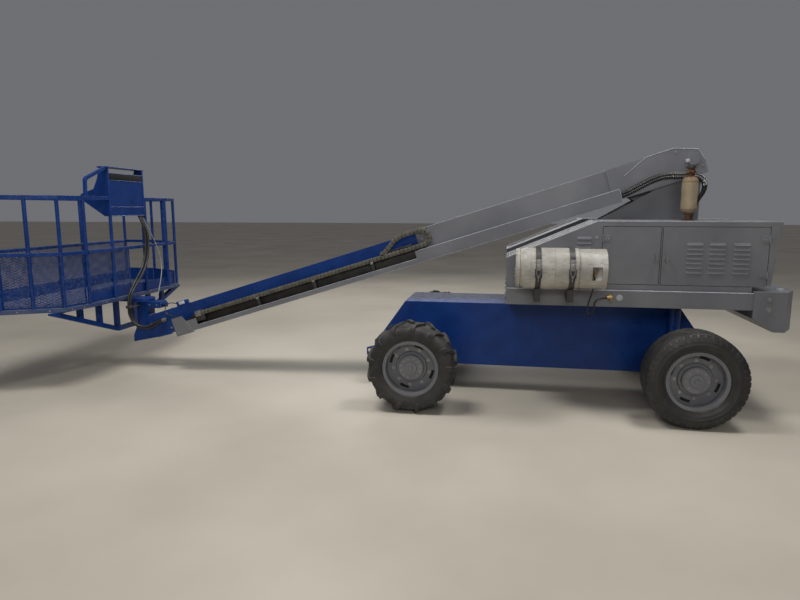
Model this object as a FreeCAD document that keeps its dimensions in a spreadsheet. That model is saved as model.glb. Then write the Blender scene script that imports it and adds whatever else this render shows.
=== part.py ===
import FreeCAD, Part
import math
import os
import Sketcher

# Telescopic boom lift on four wheels, standing with its boom lowered and drawn in.
# X runs along the machine towards the steered wheels, Y across it, Z up, in millimetres.
# The origin is on the floor, at the middle of the overall length and width.
# Places along the machine are measured from the slew axis of the turntable.

os.makedirs("parts", exist_ok=True)
doc = FreeCAD.newDocument("boom_lift")

# Name, value and meaning of every driving dimension.
SIZES = [
    ("tyre_radius", 370, "outer radius of all four tyres, at the lug tips"),
    ("lug_height", 24, "height of a drive tyre's lugs over its tread"),
    ("tyre_width", 300, "width of a tyre"),
    ("rim_radius", 212, "seat of the tyre on its rim"),
    ("rim_width", 240, "width of a rim"),
    ("half_track", 920, "from the middle of the machine to a tyre's middle plane"),
    ("drive_x", -1022, "drive wheels' axle from the slew axis"),
    ("axle_flange", 135, "radius of the drive axle's flange on the chassis"),
    ("axle_flange_thick", 22, "thickness of that flange"),
    ("axle_tube", 78, "radius of the drive axle's tube"),
    ("hub_motor", 108, "radius of the drive hub's housing"),
    ("hub_motor_length", 190, "length of the drive hub's housing"),
    ("wheelbase", 2165, "between the two axles"),
    ("chassis_over_drive", 163, "chassis' flat top beyond the drive wheels' axle"),
    ("chassis_over_steer", 42, "chassis' flat top beyond the steered wheels' axle"),
    ("chassis_nose", 290, "run of the sloped chassis ends"),
    ("chassis_nose_base", 400, "height where the slope ends"),
    ("chassis_half_width", 303, "half width of the chassis box"),
    ("chassis_bottom", 240, "underside of the chassis"),
    ("chassis_top", 808, "top of the chassis"),
    ("plate_wall", 12, "steel plate of chassis and deck"),
    ("ring_radius", 285, "outer radius of the slew ring"),
    ("ring_bore", 190, "bore of the slew ring"),
    ("deck_bottom", 875, "underside of the turntable deck"),
    ("deck_top", 1005, "top of the turntable deck"),
    ("deck_front", -280, "front end of the deck"),
    ("deck_rear", 1580, "rear end of the deck"),
    ("deck_half_width", 750, "half width of the deck"),
    ("deck_beam", 70, "width of the deck's side beams"),
    ("hood_top", 1550, "top of the hoods"),
    ("hood_outer", 726, "outer face of a hood from the middle"),
    ("hood_inner", 262, "inner face of a hood from the middle"),
    ("hood_wall", 5, "sheet of hoods and doors"),
    ("hood_slope_low", 1253, "height of the sloped hood edge at the deck's front"),
    ("hood_slope_end", 420, "where the sloped edge reaches the top"),
    ("hood_rear_top", 1750, "rear end of the hood at its top"),
    ("hood_rear_low", 1700, "rear end of the hood at its foot"),
    ("hood_step", 1065, "underside of the hood over the counterweight"),
    ("door_low", 1055, "lower edge of the doors"),
    ("door_high", 1505, "upper edge of the doors"),
    ("front_door_start", 462, "front door's hinged edge"),
    ("front_door_end", 892, "front door's latched edge"),
    ("rear_door_start", 908, "rear door's latched edge"),
    ("rear_door_end", 1666, "rear door's hinged edge"),
    ("door_gap", 4, "gap round a door"),
    ("weight_top", 1020, "top of the counterweight"),
    ("weight_low", 712, "underside of the counterweight"),
    ("weight_toe", 1729, "front end of the counterweight's underside"),
    ("weight_rear", 1913, "rear face of the counterweight"),
    ("weight_half_width", 760, "half width of the counterweight"),
    ("weight_chamfer", 100, "chamfer of the rear corners"),
    ("pivot_x", 1245, "boom pivot from the slew axis"),
    ("pivot_z", 2058, "height of the boom pivot"),
    ("pivot_radius", 32, "radius of the boom pivot pin"),
    ("boom_drop", 17.4, "angle of the lowered boom below level, in degrees"),
    ("base_length", 2450, "base section from its pivot to its mouth"),
    ("base_rear", 90, "base section behind its pivot"),
    ("base_high", 125, "base section above the pivot line"),
    ("base_low", 150, "base section below the pivot line"),
    ("base_half_width", 132, "half width of the base section"),
    ("boom_wall", 8, "plate of the boom sections"),
    ("fly_start", 400, "rear end of the fly section from the pivot"),
    ("fly_end", 5130, "front end of the fly's tube from the pivot"),
    ("fly_high", 104, "fly section above the pivot line"),
    ("fly_low", 122, "fly section below the pivot line"),
    ("fly_half_width", 105, "half width of the fly section"),
    ("knuckle_reach", 5360, "levelling pin from the boom pivot"),
    ("knuckle_radius", 22, "radius of the levelling pin"),
    ("post_gap", 130, "rotator axis ahead of the levelling pin"),
    ("post_half", 62, "half width of the rotator post"),
    ("floor_z", 760, "top of the platform floor"),
    ("floor_wall", 4, "plate of the platform floor"),
    ("platform_set", 115, "platform's rear edge ahead of the rotator axis"),
    ("platform_depth", 900, "platform along the machine"),
    ("platform_half", 1200, "half width of the platform"),
    ("rail_high", 1000, "top rail above the floor"),
    ("rail_mid", 500, "middle rail above the floor"),
    ("rail_tube", 32, "square tube of the platform rails"),
    ("hub_inner", 100, "hub face inboard of a wheel's middle plane"),
    ("hub_outer", 92, "hub cap face outboard of a wheel's middle plane"),
    ("run_gap", 0.3, "running gap between a turning piece and its seat"),
    ("beam_half", 60, "half height and width of the steered axle's beam"),
    ("kingpin_y", 755, "kingpin from the middle of the machine"),
    ("kingpin_half", 90, "half height of a kingpin barrel"),
    ("fork_thick", 22, "plate of the axle forks"),
    ("arm_reach", 140, "steering arm behind the kingpin"),
    ("arm_thick", 20, "plate of a steering arm"),
    ("tie_rod_radius", 17, "radius of the tie rod"),
    ("lug_hole", 22, "radius of a tie-down hole"),
    ("lug_hole_reach", 70, "tie-down hole from the chassis end"),
    ("lug_rim", 32, "tie-down lug beyond the middle of its hole"),
    ("lug_place", 180, "tie-down lug from the middle of the machine"),
    ("lug_hole_z", 300, "height of a tie-down hole"),
    ("lug_thick", 20, "plate of a tie-down lug"),
    ("base_start", 360, "rear end of the base section's tube from the pivot"),
    ("upright_foot", 481, "front foot of the boom's uprights"),
    ("upright_in", 95, "inner face of an upright from the middle"),
    ("upright_thick", 20, "plate of an upright"),
    ("fork_gap", 9, "gap between an upright and the boom's cheek"),
    ("fork_plate", 18, "plate of the boom's cheeks"),
    ("lug_u", 420, "lift cylinder's eye along the boom from its pivot"),
    ("lug_v", 254, "lift cylinder's eye below the pivot line"),
    ("lift_x", 280, "lift cylinder's base pin from the slew axis"),
    ("lift_z", 1090, "height of the lift cylinder's base pin"),
    ("lift_pin", 25, "radius of the lift cylinder's base pin"),
    ("lift_eye_half", 35, "half width of the barrel's eye"),
    ("barrel_radius", 58, "radius of the lift cylinder's barrel"),
    ("rod_radius", 30, "radius of the lift cylinder's rod"),
    ("rod_eye_half", 30, "half width of the rod's eye"),
    ("engine_start", 880, "front of the engine from the slew axis"),
    ("engine_length", 620, "length of the engine"),
    ("engine_side", 300, "inner side of the engine from the middle"),
    ("engine_width", 390, "width of the engine"),
    ("engine_height", 430, "height of the engine over the deck"),
    ("silencer_x", 1150, "silencer from the slew axis"),
    ("silencer_y", 450, "silencer from the middle, to the near side"),
    ("silencer_radius", 60, "radius of the silencer"),
    ("tank_start", -210, "foot end of the gas bottle"),
    ("tank_length", 670, "gas bottle with its collar"),
    ("tank_y", 915, "gas bottle's axis from the middle"),
    ("tank_z", 1190, "height of the gas bottle's axis"),
    ("tank_radius", 158, "radius of the gas bottle"),
    ("tray_start", 640, "rear end of the hose tray from the pivot"),
    ("tray_end", 5065, "front end of the hose tray from the pivot"),
    ("tray_inner", 142, "inner face of the tray from the middle"),
    ("tray_outer", 212, "outer face of the tray from the middle"),
    ("tray_low", 175, "bottom of the tray below the pivot line"),
    ("tray_high", 60, "top of the tray below the pivot line"),
    ("chain_top", -4, "top of the chain's strand from the pivot line"),
    ("chain_thick", 44, "height of a chain link"),
    ("chain_loop_back", 50, "middle of the chain's loop behind the base section's mouth"),
    ("chain_loop_radius", 92, "outer radius of the chain's loop"),
    ("chain_end", 4800, "chain's bracket from the pivot"),
    ("head_inner", 70, "inner face of a head cheek from the middle"),
    ("post_top", 690, "top of the rotator post"),
    ("foot_z", 262, "underside of the knuckle's foot"),
    ("motor_reach", 200, "rotator's motor box behind the post's axis"),
    ("rear_flat", 690, "half length of the platform's straight rear side"),
    ("corner_half", 950, "platform's half width at its rear corners"),
    ("corner_step", 55, "rear corners ahead of the rear side"),
    ("corner_depth", 500, "where the platform has its full width, ahead of the rear side"),
    ("toe_low", 100, "height of the rear and front toe boards"),
    ("toe_far", 150, "height of the far end's toe board"),
    ("tread_thick", 3, "tread sheet on the platform's floor"),
    ("board_gap", 5, "toe boards and screens short of their corners, and clear of the tread sheet"),
    ("beam_place", 600, "outer floor beams from the middle"),
    ("truss_middle", 150, "half length of the truss's level part"),
    ("truss_bar", 50, "upright bars of the truss"),
    ("truss_chord", 45, "lower chord of the truss"),
    ("truss_roof", 16, "upper chord of the truss"),
    ("truss_end", 135, "solid end of the truss"),
    ("rotator_radius", 100, "radius of the rotator's disc"),
    ("truss_set", 125, "truss's middle plane ahead of the platform's rear side"),
    ("truss_thick", 40, "thickness of the truss"),
    ("truss_half", 1065, "half length of the truss"),
    ("truss_z", 390, "underside of the truss at the middle"),
    ("truss_end_z", 708, "underside of the truss at its ends"),
    ("mesh_thick", 3, "expanded metal of the platform's screens"),
    ("gate_start", 262, "near edge of the gate opening"),
    ("console_start", -310, "near side of the console"),
    ("console_low", 1570, "underside of the console"),
    ("console_high", 2042, "top of the console's cheeks"),
]
sheet = doc.addObject("Spreadsheet::Sheet", "sheet")
for row, (name, number, meaning) in enumerate(SIZES, start=1):
    sheet.set("A%d" % row, name)
    sheet.set("B%d" % row, str(number))
    sheet.setAlias("B%d" % row, name)
    sheet.set("C%d" % row, meaning)
doc.recompute()


class Size:
    """A number together with the sheet expression that gives it."""

    def __init__(self, value, text):
        self.value = value
        self.text = text

    def __add__(self, other):
        other = as_size(other)
        return Size(self.value + other.value, "(%s + %s)" % (self.text, other.text))

    def __radd__(self, other):
        return as_size(other) + self

    def __sub__(self, other):
        other = as_size(other)
        return Size(self.value - other.value, "(%s - %s)" % (self.text, other.text))

    def __rsub__(self, other):
        return as_size(other) - self

    def __mul__(self, other):
        other = as_size(other)
        return Size(self.value * other.value, "(%s * %s)" % (self.text, other.text))

    def __rmul__(self, other):
        return as_size(other) * self

    def __truediv__(self, other):
        other = as_size(other)
        return Size(self.value / other.value, "(%s / %s)" % (self.text, other.text))

    def __neg__(self):
        return Size(-self.value, "(0 - %s)" % self.text)


def as_size(thing):
    if isinstance(thing, Size):
        return thing
    if thing < 0:
        return Size(float(thing), "(0 - %s)" % abs(thing))
    return Size(float(thing), str(thing))


def sine(angle):
    return Size(math.sin(math.radians(angle.value)), "sin(%s)" % angle.text)


def cosine(angle):
    return Size(math.cos(math.radians(angle.value)), "cos(%s)" % angle.text)


class Sheet:
    """Every alias of the sheet as a Size."""

    def __getattr__(self, name):
        return Size(float(sheet.get(name)), "sheet." + name)


s = Sheet()


def bind(thing, prop, amount):
    thing.setExpression(prop, as_size(amount).text)


def place(thing, x=0, y=0, z=0):
    bind(thing, "Placement.Base.x", x)
    bind(thing, "Placement.Base.y", y)
    bind(thing, "Placement.Base.z", z)
    return thing


def box(name, x0, x1, y0, y1, z0, z1):
    """A block between two limits on each axis."""
    block = doc.addObject("Part::Box", name)
    bind(block, "Length", as_size(x1) - x0)
    bind(block, "Width", as_size(y1) - y0)
    bind(block, "Height", as_size(z1) - z0)
    return place(block, x0, y0, z0)


AXIS_TURNS = {
    "x": FreeCAD.Rotation(FreeCAD.Vector(0, 1, 0), 90),
    "y": FreeCAD.Rotation(FreeCAD.Vector(1, 0, 0), -90),
    "z": FreeCAD.Rotation(),
}


def bar(name, axis, x, y, z, radius, length):
    """A round bar that starts at a point and runs along +axis."""
    round_bar = doc.addObject("Part::Cylinder", name)
    bind(round_bar, "Radius", radius)
    bind(round_bar, "Height", length)
    round_bar.Placement = FreeCAD.Placement(FreeCAD.Vector(), AXIS_TURNS[axis])
    return place(round_bar, x, y, z)


def sketch_on(body, plane, name):
    sketch = body.newObject("Sketcher::SketchObject", name)
    origin_plane = [f for f in body.Origin.OriginFeatures if f.Role == plane + "_Plane"][0]
    sketch.AttachmentSupport = [(origin_plane, "")]
    sketch.MapMode = "FlatFace"
    return sketch


def add_loop(sketch, points):
    """A closed run of lines whose corners are bound to sizes."""
    sizes = [(as_size(a), as_size(b)) for a, b in points]
    first = sketch.GeometryCount
    count = len(sizes)
    for i, (a, b) in enumerate(sizes):
        c, d = sizes[(i + 1) % count]
        start = FreeCAD.Vector(a.value, b.value, 0)
        end = FreeCAD.Vector(c.value, d.value, 0)
        sketch.addGeometry(Part.LineSegment(start, end))
    for i in range(count):
        sketch.addConstraint(Sketcher.Constraint("Coincident", first + i, 2, first + (i + 1) % count, 1))
    for i, pair in enumerate(sizes):
        for kind, amount in zip(("DistanceX", "DistanceY"), pair):
            rule = sketch.addConstraint(Sketcher.Constraint(kind, -1, 1, first + i, 1, amount.value))
            sketch.setExpression("Constraints[%d]" % rule, amount.text)


def add_round(sketch, a, b, radius):
    """A circle with bound centre and radius."""
    a, b, radius = as_size(a), as_size(b), as_size(radius)
    number = sketch.GeometryCount
    centre = FreeCAD.Vector(a.value, b.value, 0)
    sketch.addGeometry(Part.Circle(centre, FreeCAD.Vector(0, 0, 1), radius.value))
    for kind, amount in (("DistanceX", a), ("DistanceY", b)):
        rule = sketch.addConstraint(Sketcher.Constraint(kind, -1, 1, number, 3, amount.value))
        sketch.setExpression("Constraints[%d]" % rule, amount.text)
    rule = sketch.addConstraint(Sketcher.Constraint("Radius", number, radius.value))
    sketch.setExpression("Constraints[%d]" % rule, radius.text)


def plate(name, plane, points, thick, at=0, windows=(), rounds=()):
    """A flat piece: an outline on XZ, XY or YZ, centred on its place along the third axis."""
    body = doc.addObject("PartDesign::Body", name)
    sketch = sketch_on(body, plane, name + "_outline")
    add_loop(sketch, points)
    for window in windows:
        add_loop(sketch, window)
    for a, b, radius in rounds:
        add_round(sketch, a, b, radius)
    pad = body.newObject("PartDesign::Pad", name + "_pad")
    pad.Profile = sketch
    pad.SideType = "Symmetric"
    bind(pad, "Length", thick)
    third = {"XZ": "y", "XY": "z", "YZ": "x"}[plane]
    bind(body, "Placement.Base." + third, at)
    return body


def turned(name, points, x, y, z):
    """A body of revolution about a line along Y; points are (along Y, radius)."""
    body = doc.addObject("PartDesign::Body", name)
    sketch = sketch_on(body, "YZ", name + "_section")
    add_loop(sketch, points)
    spin = body.newObject("PartDesign::Revolution", name + "_spin")
    spin.Profile = sketch
    spin.ReferenceAxis = (sketch, ["H_Axis"])
    spin.Angle = 360
    return place(body, x, y, z)


def join(label, pieces):
    whole = doc.addObject("Part::MultiFuse", label)
    whole.Shapes = list(pieces)
    whole.Refine = True
    return whole


def cut(label, base, tools):
    whole = doc.addObject("Part::Cut", label)
    whole.Base = base
    whole.Tool = tools[0] if len(tools) == 1 else join(label + "_tools", tools)
    return whole


def gather(label, pieces):
    """Solids of one node that don't touch each other."""
    whole = doc.addObject("Part::Compound", label)
    whole.Links = list(pieces)
    return whole


NODES = []


def node(thing, name):
    """Names a finished sub-part, which becomes one file."""
    thing.Label = name
    NODES.append(thing)
    return thing


# Places that several pieces share.
level_x = s.pivot_x - s.knuckle_reach * cosine(s.boom_drop)
level_z = s.pivot_z - s.knuckle_reach * sine(s.boom_drop)
post_x = level_x - s.post_gap
platform_rear = post_x - s.platform_set
platform_front = platform_rear - s.platform_depth
slew_x = (-platform_front - s.weight_rear) / 2
steer_x = s.drive_x + s.wheelbase
chassis_start = s.drive_x - s.chassis_over_drive
chassis_end = steer_x + s.chassis_over_steer
SIDES = (("near", -1), ("far", 1))


def chassis_frame():
    """Welded box with sloped ends, open below, notched for the steered axle."""
    def side(inset, foot):
        start, end = slew_x + chassis_start + inset, slew_x + chassis_end - inset
        roof = s.chassis_top - inset
        return [
            (start - s.chassis_nose, foot), (start - s.chassis_nose, s.chassis_nose_base), (start, roof),
            (end, roof), (end + s.chassis_nose, s.chassis_nose_base), (end + s.chassis_nose, foot),
        ]

    skin = plate("chassis_skin", "XZ", side(0, s.chassis_bottom), 2 * s.chassis_half_width)
    room = plate(
        "chassis_room", "XZ", side(s.plate_wall, s.chassis_bottom - 20),
        2 * s.chassis_half_width - 2 * s.plate_wall)
    middle = slew_x + steer_x
    notch = box(
        "chassis_notch", middle - 200, middle + 90, -s.chassis_half_width - 10, s.chassis_half_width + 10,
        s.chassis_bottom - 20, s.tyre_radius + s.beam_half + 0.3)
    shell = cut("chassis_shell", skin, [room, notch])
    beam_seat = box(
        "beam_seat", middle - 200, middle + 90, -s.chassis_half_width + s.plate_wall,
        s.chassis_half_width - s.plate_wall, s.tyre_radius + s.beam_half + 0.3,
        s.tyre_radius + s.beam_half + 0.3 + s.plate_wall)
    node(join("chassis_frame", [shell, beam_seat]), "chassis_frame")


def tie_down_lugs():
    """Four plates with a round eye, welded to the chassis' end faces."""
    lugs = []
    low = s.chassis_bottom
    for end_name, sign, edge in (("drive", -1, chassis_start), ("steer", 1, chassis_end)):
        for side_name, across in SIDES:
            x = slew_x + edge + sign * s.chassis_nose
            tip = x + sign * (s.lug_hole_reach + s.lug_rim)
            outline = [(x, low + 10), (tip, low + 20), (tip, low + 90), (x, low + 120)]
            lugs.append(plate(
                "lug_%s_%s" % (end_name, side_name), "XZ", outline, s.lug_thick, across * s.lug_place,
                rounds=[(x + sign * s.lug_hole_reach, s.lug_hole_z, s.lug_hole)]))
    node(gather("tie_down_lugs", lugs), "tie_down_lugs")


def slew_ring():
    """Ring bearing with a pinion housing, between the chassis and the deck."""
    middle = s.chassis_top
    height = s.deck_bottom - s.chassis_top
    outer = bar("ring_lower", "z", slew_x, 0, middle, s.ring_radius, height / 2 - 1)
    bore = bar("ring_lower_bore", "z", slew_x, 0, middle - 5, s.ring_bore, height)
    node(cut("slew_ring_lower", outer, [bore]), "slew_ring_lower")
    upper = bar("ring_upper", "z", slew_x, 0, middle + height / 2 - 0.7, s.ring_radius - 15, height / 2 + 0.7)
    upper_bore = bar("ring_upper_bore", "z", slew_x, 0, middle, s.ring_bore, height * 2)
    node(cut("slew_ring_upper", upper, [upper_bore]), "slew_ring_upper")


def drive_axle():
    """A flanged stub on each side of the chassis that ends in the drive hub's housing."""
    stubs = []
    x = slew_x + s.drive_x
    hub_face = s.half_track - s.hub_inner - s.run_gap
    for side_name, across in SIDES:
        start = s.chassis_half_width
        length = hub_face - start
        pieces = []
        for name, radius, first, size in (
                ("flange", s.axle_flange, 0, s.axle_flange_thick), ("tube", s.axle_tube, 0, length),
                ("motor", s.hub_motor, length - s.hub_motor_length, s.hub_motor_length)):
            low = start + first if across > 0 else -(start + first) - size
            pieces.append(bar("drive_%s_%s" % (name, side_name), "y", x, low, s.tyre_radius, radius, size))
        stubs.append(join("drive_stub_" + side_name, pieces))
    node(gather("drive_axle", stubs), "drive_axle")


def steer_axle():
    """Box beam through the chassis notch, with a fork for each kingpin, and its lockout cylinders."""
    x = slew_x + steer_x
    z = s.tyre_radius
    half = s.beam_half
    pieces = [box("axle_beam", x - half, x + half, -s.kingpin_y + 95, s.kingpin_y - 95, z - half, z + half)]
    for side_name, across in SIDES:
        inner = across * (s.kingpin_y - 95)
        outer = across * s.kingpin_y
        low_y, high_y = (inner, outer) if across > 0 else (outer, inner)
        for level, z0 in (("low", z - s.kingpin_half - s.fork_thick - s.run_gap),
                          ("high", z + s.kingpin_half + s.run_gap)):
            name = "fork_%s_%s" % (level, side_name)
            pieces.append(box(name, x - 45, x + 45, low_y, high_y, z0, z0 + s.fork_thick))
            pieces.append(bar(name + "_eye", "z", x, outer, z0, 45, s.fork_thick))
        root_y = (inner - 60, inner + 3) if across > 0 else (inner - 3, inner + 60)
        pieces.append(box(
            "fork_root_" + side_name, x - 45, x + 45, root_y[0], root_y[1],
            z - s.kingpin_half - s.fork_thick - s.run_gap, z + s.kingpin_half + s.fork_thick + s.run_gap))
    node(join("steer_axle_beam", pieces), "steer_axle_beam")
    cylinders = []
    for side_name, across in SIDES:
        y = across * (s.chassis_half_width + 72)
        seat = z + half + 0.3
        shaft = bar("lockout_rod_" + side_name, "z", x - 20, y, seat, 24, 150)
        tube = bar("lockout_tube_" + side_name, "z", x - 20, y, seat + 120, 46, 260)
        wall_y = (s.chassis_half_width, s.chassis_half_width + 60)
        if across < 0:
            wall_y = (-wall_y[1], -wall_y[0])
        web = box("lockout_web_" + side_name, x - 60, x + 20, wall_y[0], wall_y[1], seat + 240, seat + 290)
        cylinders.append(join("lockout_" + side_name, [shaft, tube, web]))
    node(gather("lockout_cylinders", cylinders), "lockout_cylinders")


def steering():
    """Knuckle with kingpin barrel, spindle and arm on each side, and the tie rod below the arms."""
    x = slew_x + steer_x
    z = s.tyre_radius
    for side_name, across in SIDES:
        y = across * s.kingpin_y
        barrel = bar("kingpin_barrel_" + side_name, "z", x, y, z - s.kingpin_half, 44, 2 * s.kingpin_half)
        reach = s.half_track - s.hub_inner - s.run_gap - s.kingpin_y
        low = y if across > 0 else y - reach
        spindle = bar("spindle_" + side_name, "y", x, low, z, 55, reach)
        arm_end = across * (s.kingpin_y - 40)
        arm = plate("steer_arm_" + side_name, "XY", [
            (x + 20, y - 38), (x + 20, y + 38), (x - s.arm_reach - 25, arm_end + 25),
            (x - s.arm_reach - 25, arm_end - 25)], s.arm_thick, z - s.kingpin_half + s.arm_thick / 2 + 12)
        node(join("steer_knuckle_" + side_name, [barrel, spindle, arm]), "steer_knuckle_" + side_name)
    rod_z = z - s.kingpin_half + 12 - s.run_gap - s.tie_rod_radius
    tie_end = s.kingpin_y - 40
    rod = bar("tie_rod_bar", "y", x - s.arm_reach, -tie_end, rod_z, s.tie_rod_radius, 2 * tie_end)
    node(rod, "tie_rod")


def wheel(name, x, across, lugged):
    """Rim with its disc and hub cap, and the foam-filled tyre on it."""
    y = across * s.half_track
    half = s.rim_width / 2
    bed = s.rim_radius - 10
    flange = s.rim_radius + 16
    section = [
        (-s.hub_inner, 0), (-s.hub_inner, 112), (20, 112), (20, bed), (-half, bed), (-half, flange),
        (12 - half, flange), (12 - half, s.rim_radius), (half - 12, s.rim_radius), (half - 12, flange),
        (half, flange), (half, bed), (34, bed), (34, 130), (52, 122), (52, 105), (s.hub_outer - 8, 105),
        (s.hub_outer, 96), (s.hub_outer, 0)]
    rim = turned("rim_" + name, [(across * a, b) for a, b in section], x, y, s.tyre_radius)
    node(rim, "rim_" + name)
    wide = s.tyre_width / 2
    bead = s.rim_radius + 0.3
    tread = s.tyre_radius - s.lug_height if lugged else s.tyre_radius
    side = [
        (half - 14, bead), (half - 14, flange + 1), (half + 2, flange + 3), (wide, flange + 48),
        (wide, tread - 40), (wide - 14, tread - 10), (wide - 40, tread)]
    loop = side + [(-a, b) for a, b in reversed(side)]
    carcass = turned("carcass_" + name, loop, x, y, s.tyre_radius)
    if lugged:
        carcass = lugged_tyre(name, carcass, across)
    node(carcass, "tyre_" + name)


LUG_COUNT = 13


def lugged_tyre(name, carcass, across):
    """Fuses slanted tread bars to a tyre, left and right of the middle in turn, trimmed to its radius."""
    radius = s.tyre_radius.value
    foot = radius - s.lug_height.value - 12
    wide = s.tyre_width.value / 2
    # Columns: along the tread, then across it, for one bar; the mirrored bar sits half a pitch on.
    outline = [(-22, -12), (-78, wide - 6), (-44, wide - 6), (16, -12)]
    doc.recompute()
    spot = carcass.Placement.Base
    ring = Part.makeCylinder(radius, 2 * wide, FreeCAD.Vector(0, -wide, 0), FreeCAD.Vector(0, 1, 0))
    bars = []
    for side in (1, -1):
        corners = [FreeCAD.Vector(along_tread, side * over, foot) for along_tread, over in outline]
        face = Part.Face(Part.makePolygon(corners + corners[:1]))
        solid = face.extrude(FreeCAD.Vector(0, 0, s.lug_height.value + 20)).common(ring).Solids[0]
        for k in range(LUG_COUNT):
            turn = 360.0 / LUG_COUNT * (k + (0.5 if side < 0 else 0.0))
            copy = solid.copy()
            copy.rotate(FreeCAD.Vector(), FreeCAD.Vector(0, across, 0), turn)
            copy.translate(spot)
            bars.append(copy)
    tyre = doc.addObject("Part::Feature", "tyre_" + name)
    tyre.Shape = carcass.Shape.multiFuse(bars).removeSplitter()
    return tyre


def deck():
    """Turntable deck: top plate on side, end and inner beams, with the slew ring's plate below."""
    low, high = s.deck_bottom, s.deck_top
    front, rear = slew_x + s.deck_front, slew_x + s.deck_rear
    half, beam, wall = s.deck_half_width, s.deck_beam, s.plate_wall
    under = high - wall
    pieces = [
        box("deck_plate", front, rear, -half, half, under, high),
        box("deck_front_beam", front, front + beam, -half, half, low, high),
        box("deck_rear_beam", rear - beam, rear, -half, half, low, high),
        box("ring_plate", slew_x + s.deck_front, slew_x - s.deck_front, -300, 300, low, low + 2 * wall),
    ]
    # Ears and pin for the foot of the lift cylinder.
    x, z, foot = slew_x + s.lift_x, s.lift_z, high - 2
    ear = [(x - 60, foot), (x - 60, z - 10), (x - 40, z + 35), (x - 15, z + 50), (x + 15, z + 50),
           (x + 40, z + 35), (x + 60, z - 10), (x + 60, foot)]
    ear_middle = s.lift_eye_half + s.run_gap + 9
    pieces += [
        plate("lift_ear_near", "XZ", ear, 18, -ear_middle), plate("lift_ear_far", "XZ", ear, 18, ear_middle),
        bar("lift_foot_pin", "y", x, -ear_middle - 22, z, s.lift_pin, 2 * ear_middle + 44)]
    for side_name, across in SIDES:
        outer = (half - beam, half) if across > 0 else (-half, beam - half)
        pieces.append(box("deck_beam_" + side_name, front, rear, outer[0], outer[1], low, high))
        inner = (s.upright_in, s.upright_in + s.upright_thick)
        if across < 0:
            inner = (-inner[1], -inner[0])
        pieces.append(box("deck_web_" + side_name, front, rear, inner[0], inner[1], low, high))
    node(join("turntable_deck", pieces), "turntable_deck")


def uprights():
    """Two gusset plates that rise from the deck to the boom pivot, tied by a rear cross plate."""
    x, z = slew_x + s.pivot_x, s.pivot_z
    foot = slew_x + s.upright_foot
    outline = [
        (foot, s.deck_top), (foot, s.hood_top - 20), (x - 115, z - 158), (x - 78, z + 20), (x - 40, z + 76),
        (x + 40, z + 76), (x + 80, z + 20), (x + 80, s.deck_top)]
    plates = []
    for side_name, across in SIDES:
        middle = across * (s.upright_in + s.upright_thick / 2)
        plates.append(plate(
            "upright_" + side_name, "XZ", outline, s.upright_thick, middle,
            rounds=[(x, z, s.pivot_radius + 0.05)]))
    tie = box("upright_tie", x + 50, x + 70, -s.upright_in - 5, s.upright_in + 5, s.deck_top, z - 330)
    foot_tie = box("upright_foot_tie", foot, foot + 16, -s.upright_in - 5, s.upright_in + 5, s.deck_top, 1180)
    node(join("boom_uprights", plates + [tie, foot_tie]), "boom_uprights")
    reach = s.upright_in + s.upright_thick + s.fork_gap + s.fork_plate
    shaft = bar("pin_shaft", "y", x, -reach - 2, z, s.pivot_radius, 2 * reach + 4)
    heads = [
        bar("pin_head_near", "y", x, -reach - s.run_gap - 14, z, 50, 14),
        bar("pin_head_far", "y", x, reach + s.run_gap, z, 50, 14)]
    node(join("boom_pivot_pin", [shaft] + heads), "boom_pivot_pin")


def hood_loop(inset, foot):
    """Side outline of a hood, drawn in by the sheet's thickness for its room."""
    front, end = slew_x + s.deck_front, slew_x + s.deck_rear - 10
    return [
        (front + inset, foot), (front + inset, s.hood_slope_low - inset * 0.6),
        (slew_x + s.hood_slope_end + inset * 0.3, s.hood_top - inset),
        (slew_x + s.hood_rear_top - inset * 1.1, s.hood_top - inset),
        (slew_x + s.hood_rear_low - inset, s.hood_step + inset), (end - inset, s.hood_step + inset),
        (end - inset, foot)]


DOORS = (
    # name, hinged edge, latched edge, louvre columns
    ("front", "front_door_start", "front_door_end", ()),
    ("rear", "rear_door_end", "rear_door_start", (0.31, 0.52, 0.75)),
)


def hood(side_name, across):
    """Sheet-metal cover beside the boom: closed all round but for its two door openings."""
    wall = s.hood_wall
    wide = s.hood_outer - s.hood_inner
    middle = across * (s.hood_outer + s.hood_inner) / 2
    skin = plate("hood_skin_" + side_name, "XZ", hood_loop(0, s.deck_top), wide, middle)
    room = plate("hood_room_" + side_name, "XZ", hood_loop(wall, s.deck_top - 10), wide - 2 * wall, middle)
    tools = [room]
    for door_name, hinged, latched, columns in DOORS:
        edges = sorted((getattr(s, hinged), getattr(s, latched)), key=lambda size: size.value)
        outer = (s.hood_outer - wall - 5, s.hood_outer + 5)
        if across < 0:
            outer = (-outer[1], -outer[0])
        tools.append(box(
            "opening_%s_%s" % (door_name, side_name), slew_x + edges[0] - s.door_gap,
            slew_x + edges[1] + s.door_gap, outer[0], outer[1], s.door_low - s.door_gap,
            s.door_high + s.door_gap))
    shell = cut("hood_shell_" + side_name, skin, tools)
    vents = louvres(
        "hood_vents_" + side_name, across, slew_x.value + 264, slew_x.value + 373, 1333, 3)
    node(join("hood_" + side_name, [shell, vents]), "hood_" + side_name)


LOUVRE_PITCH = 36


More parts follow.
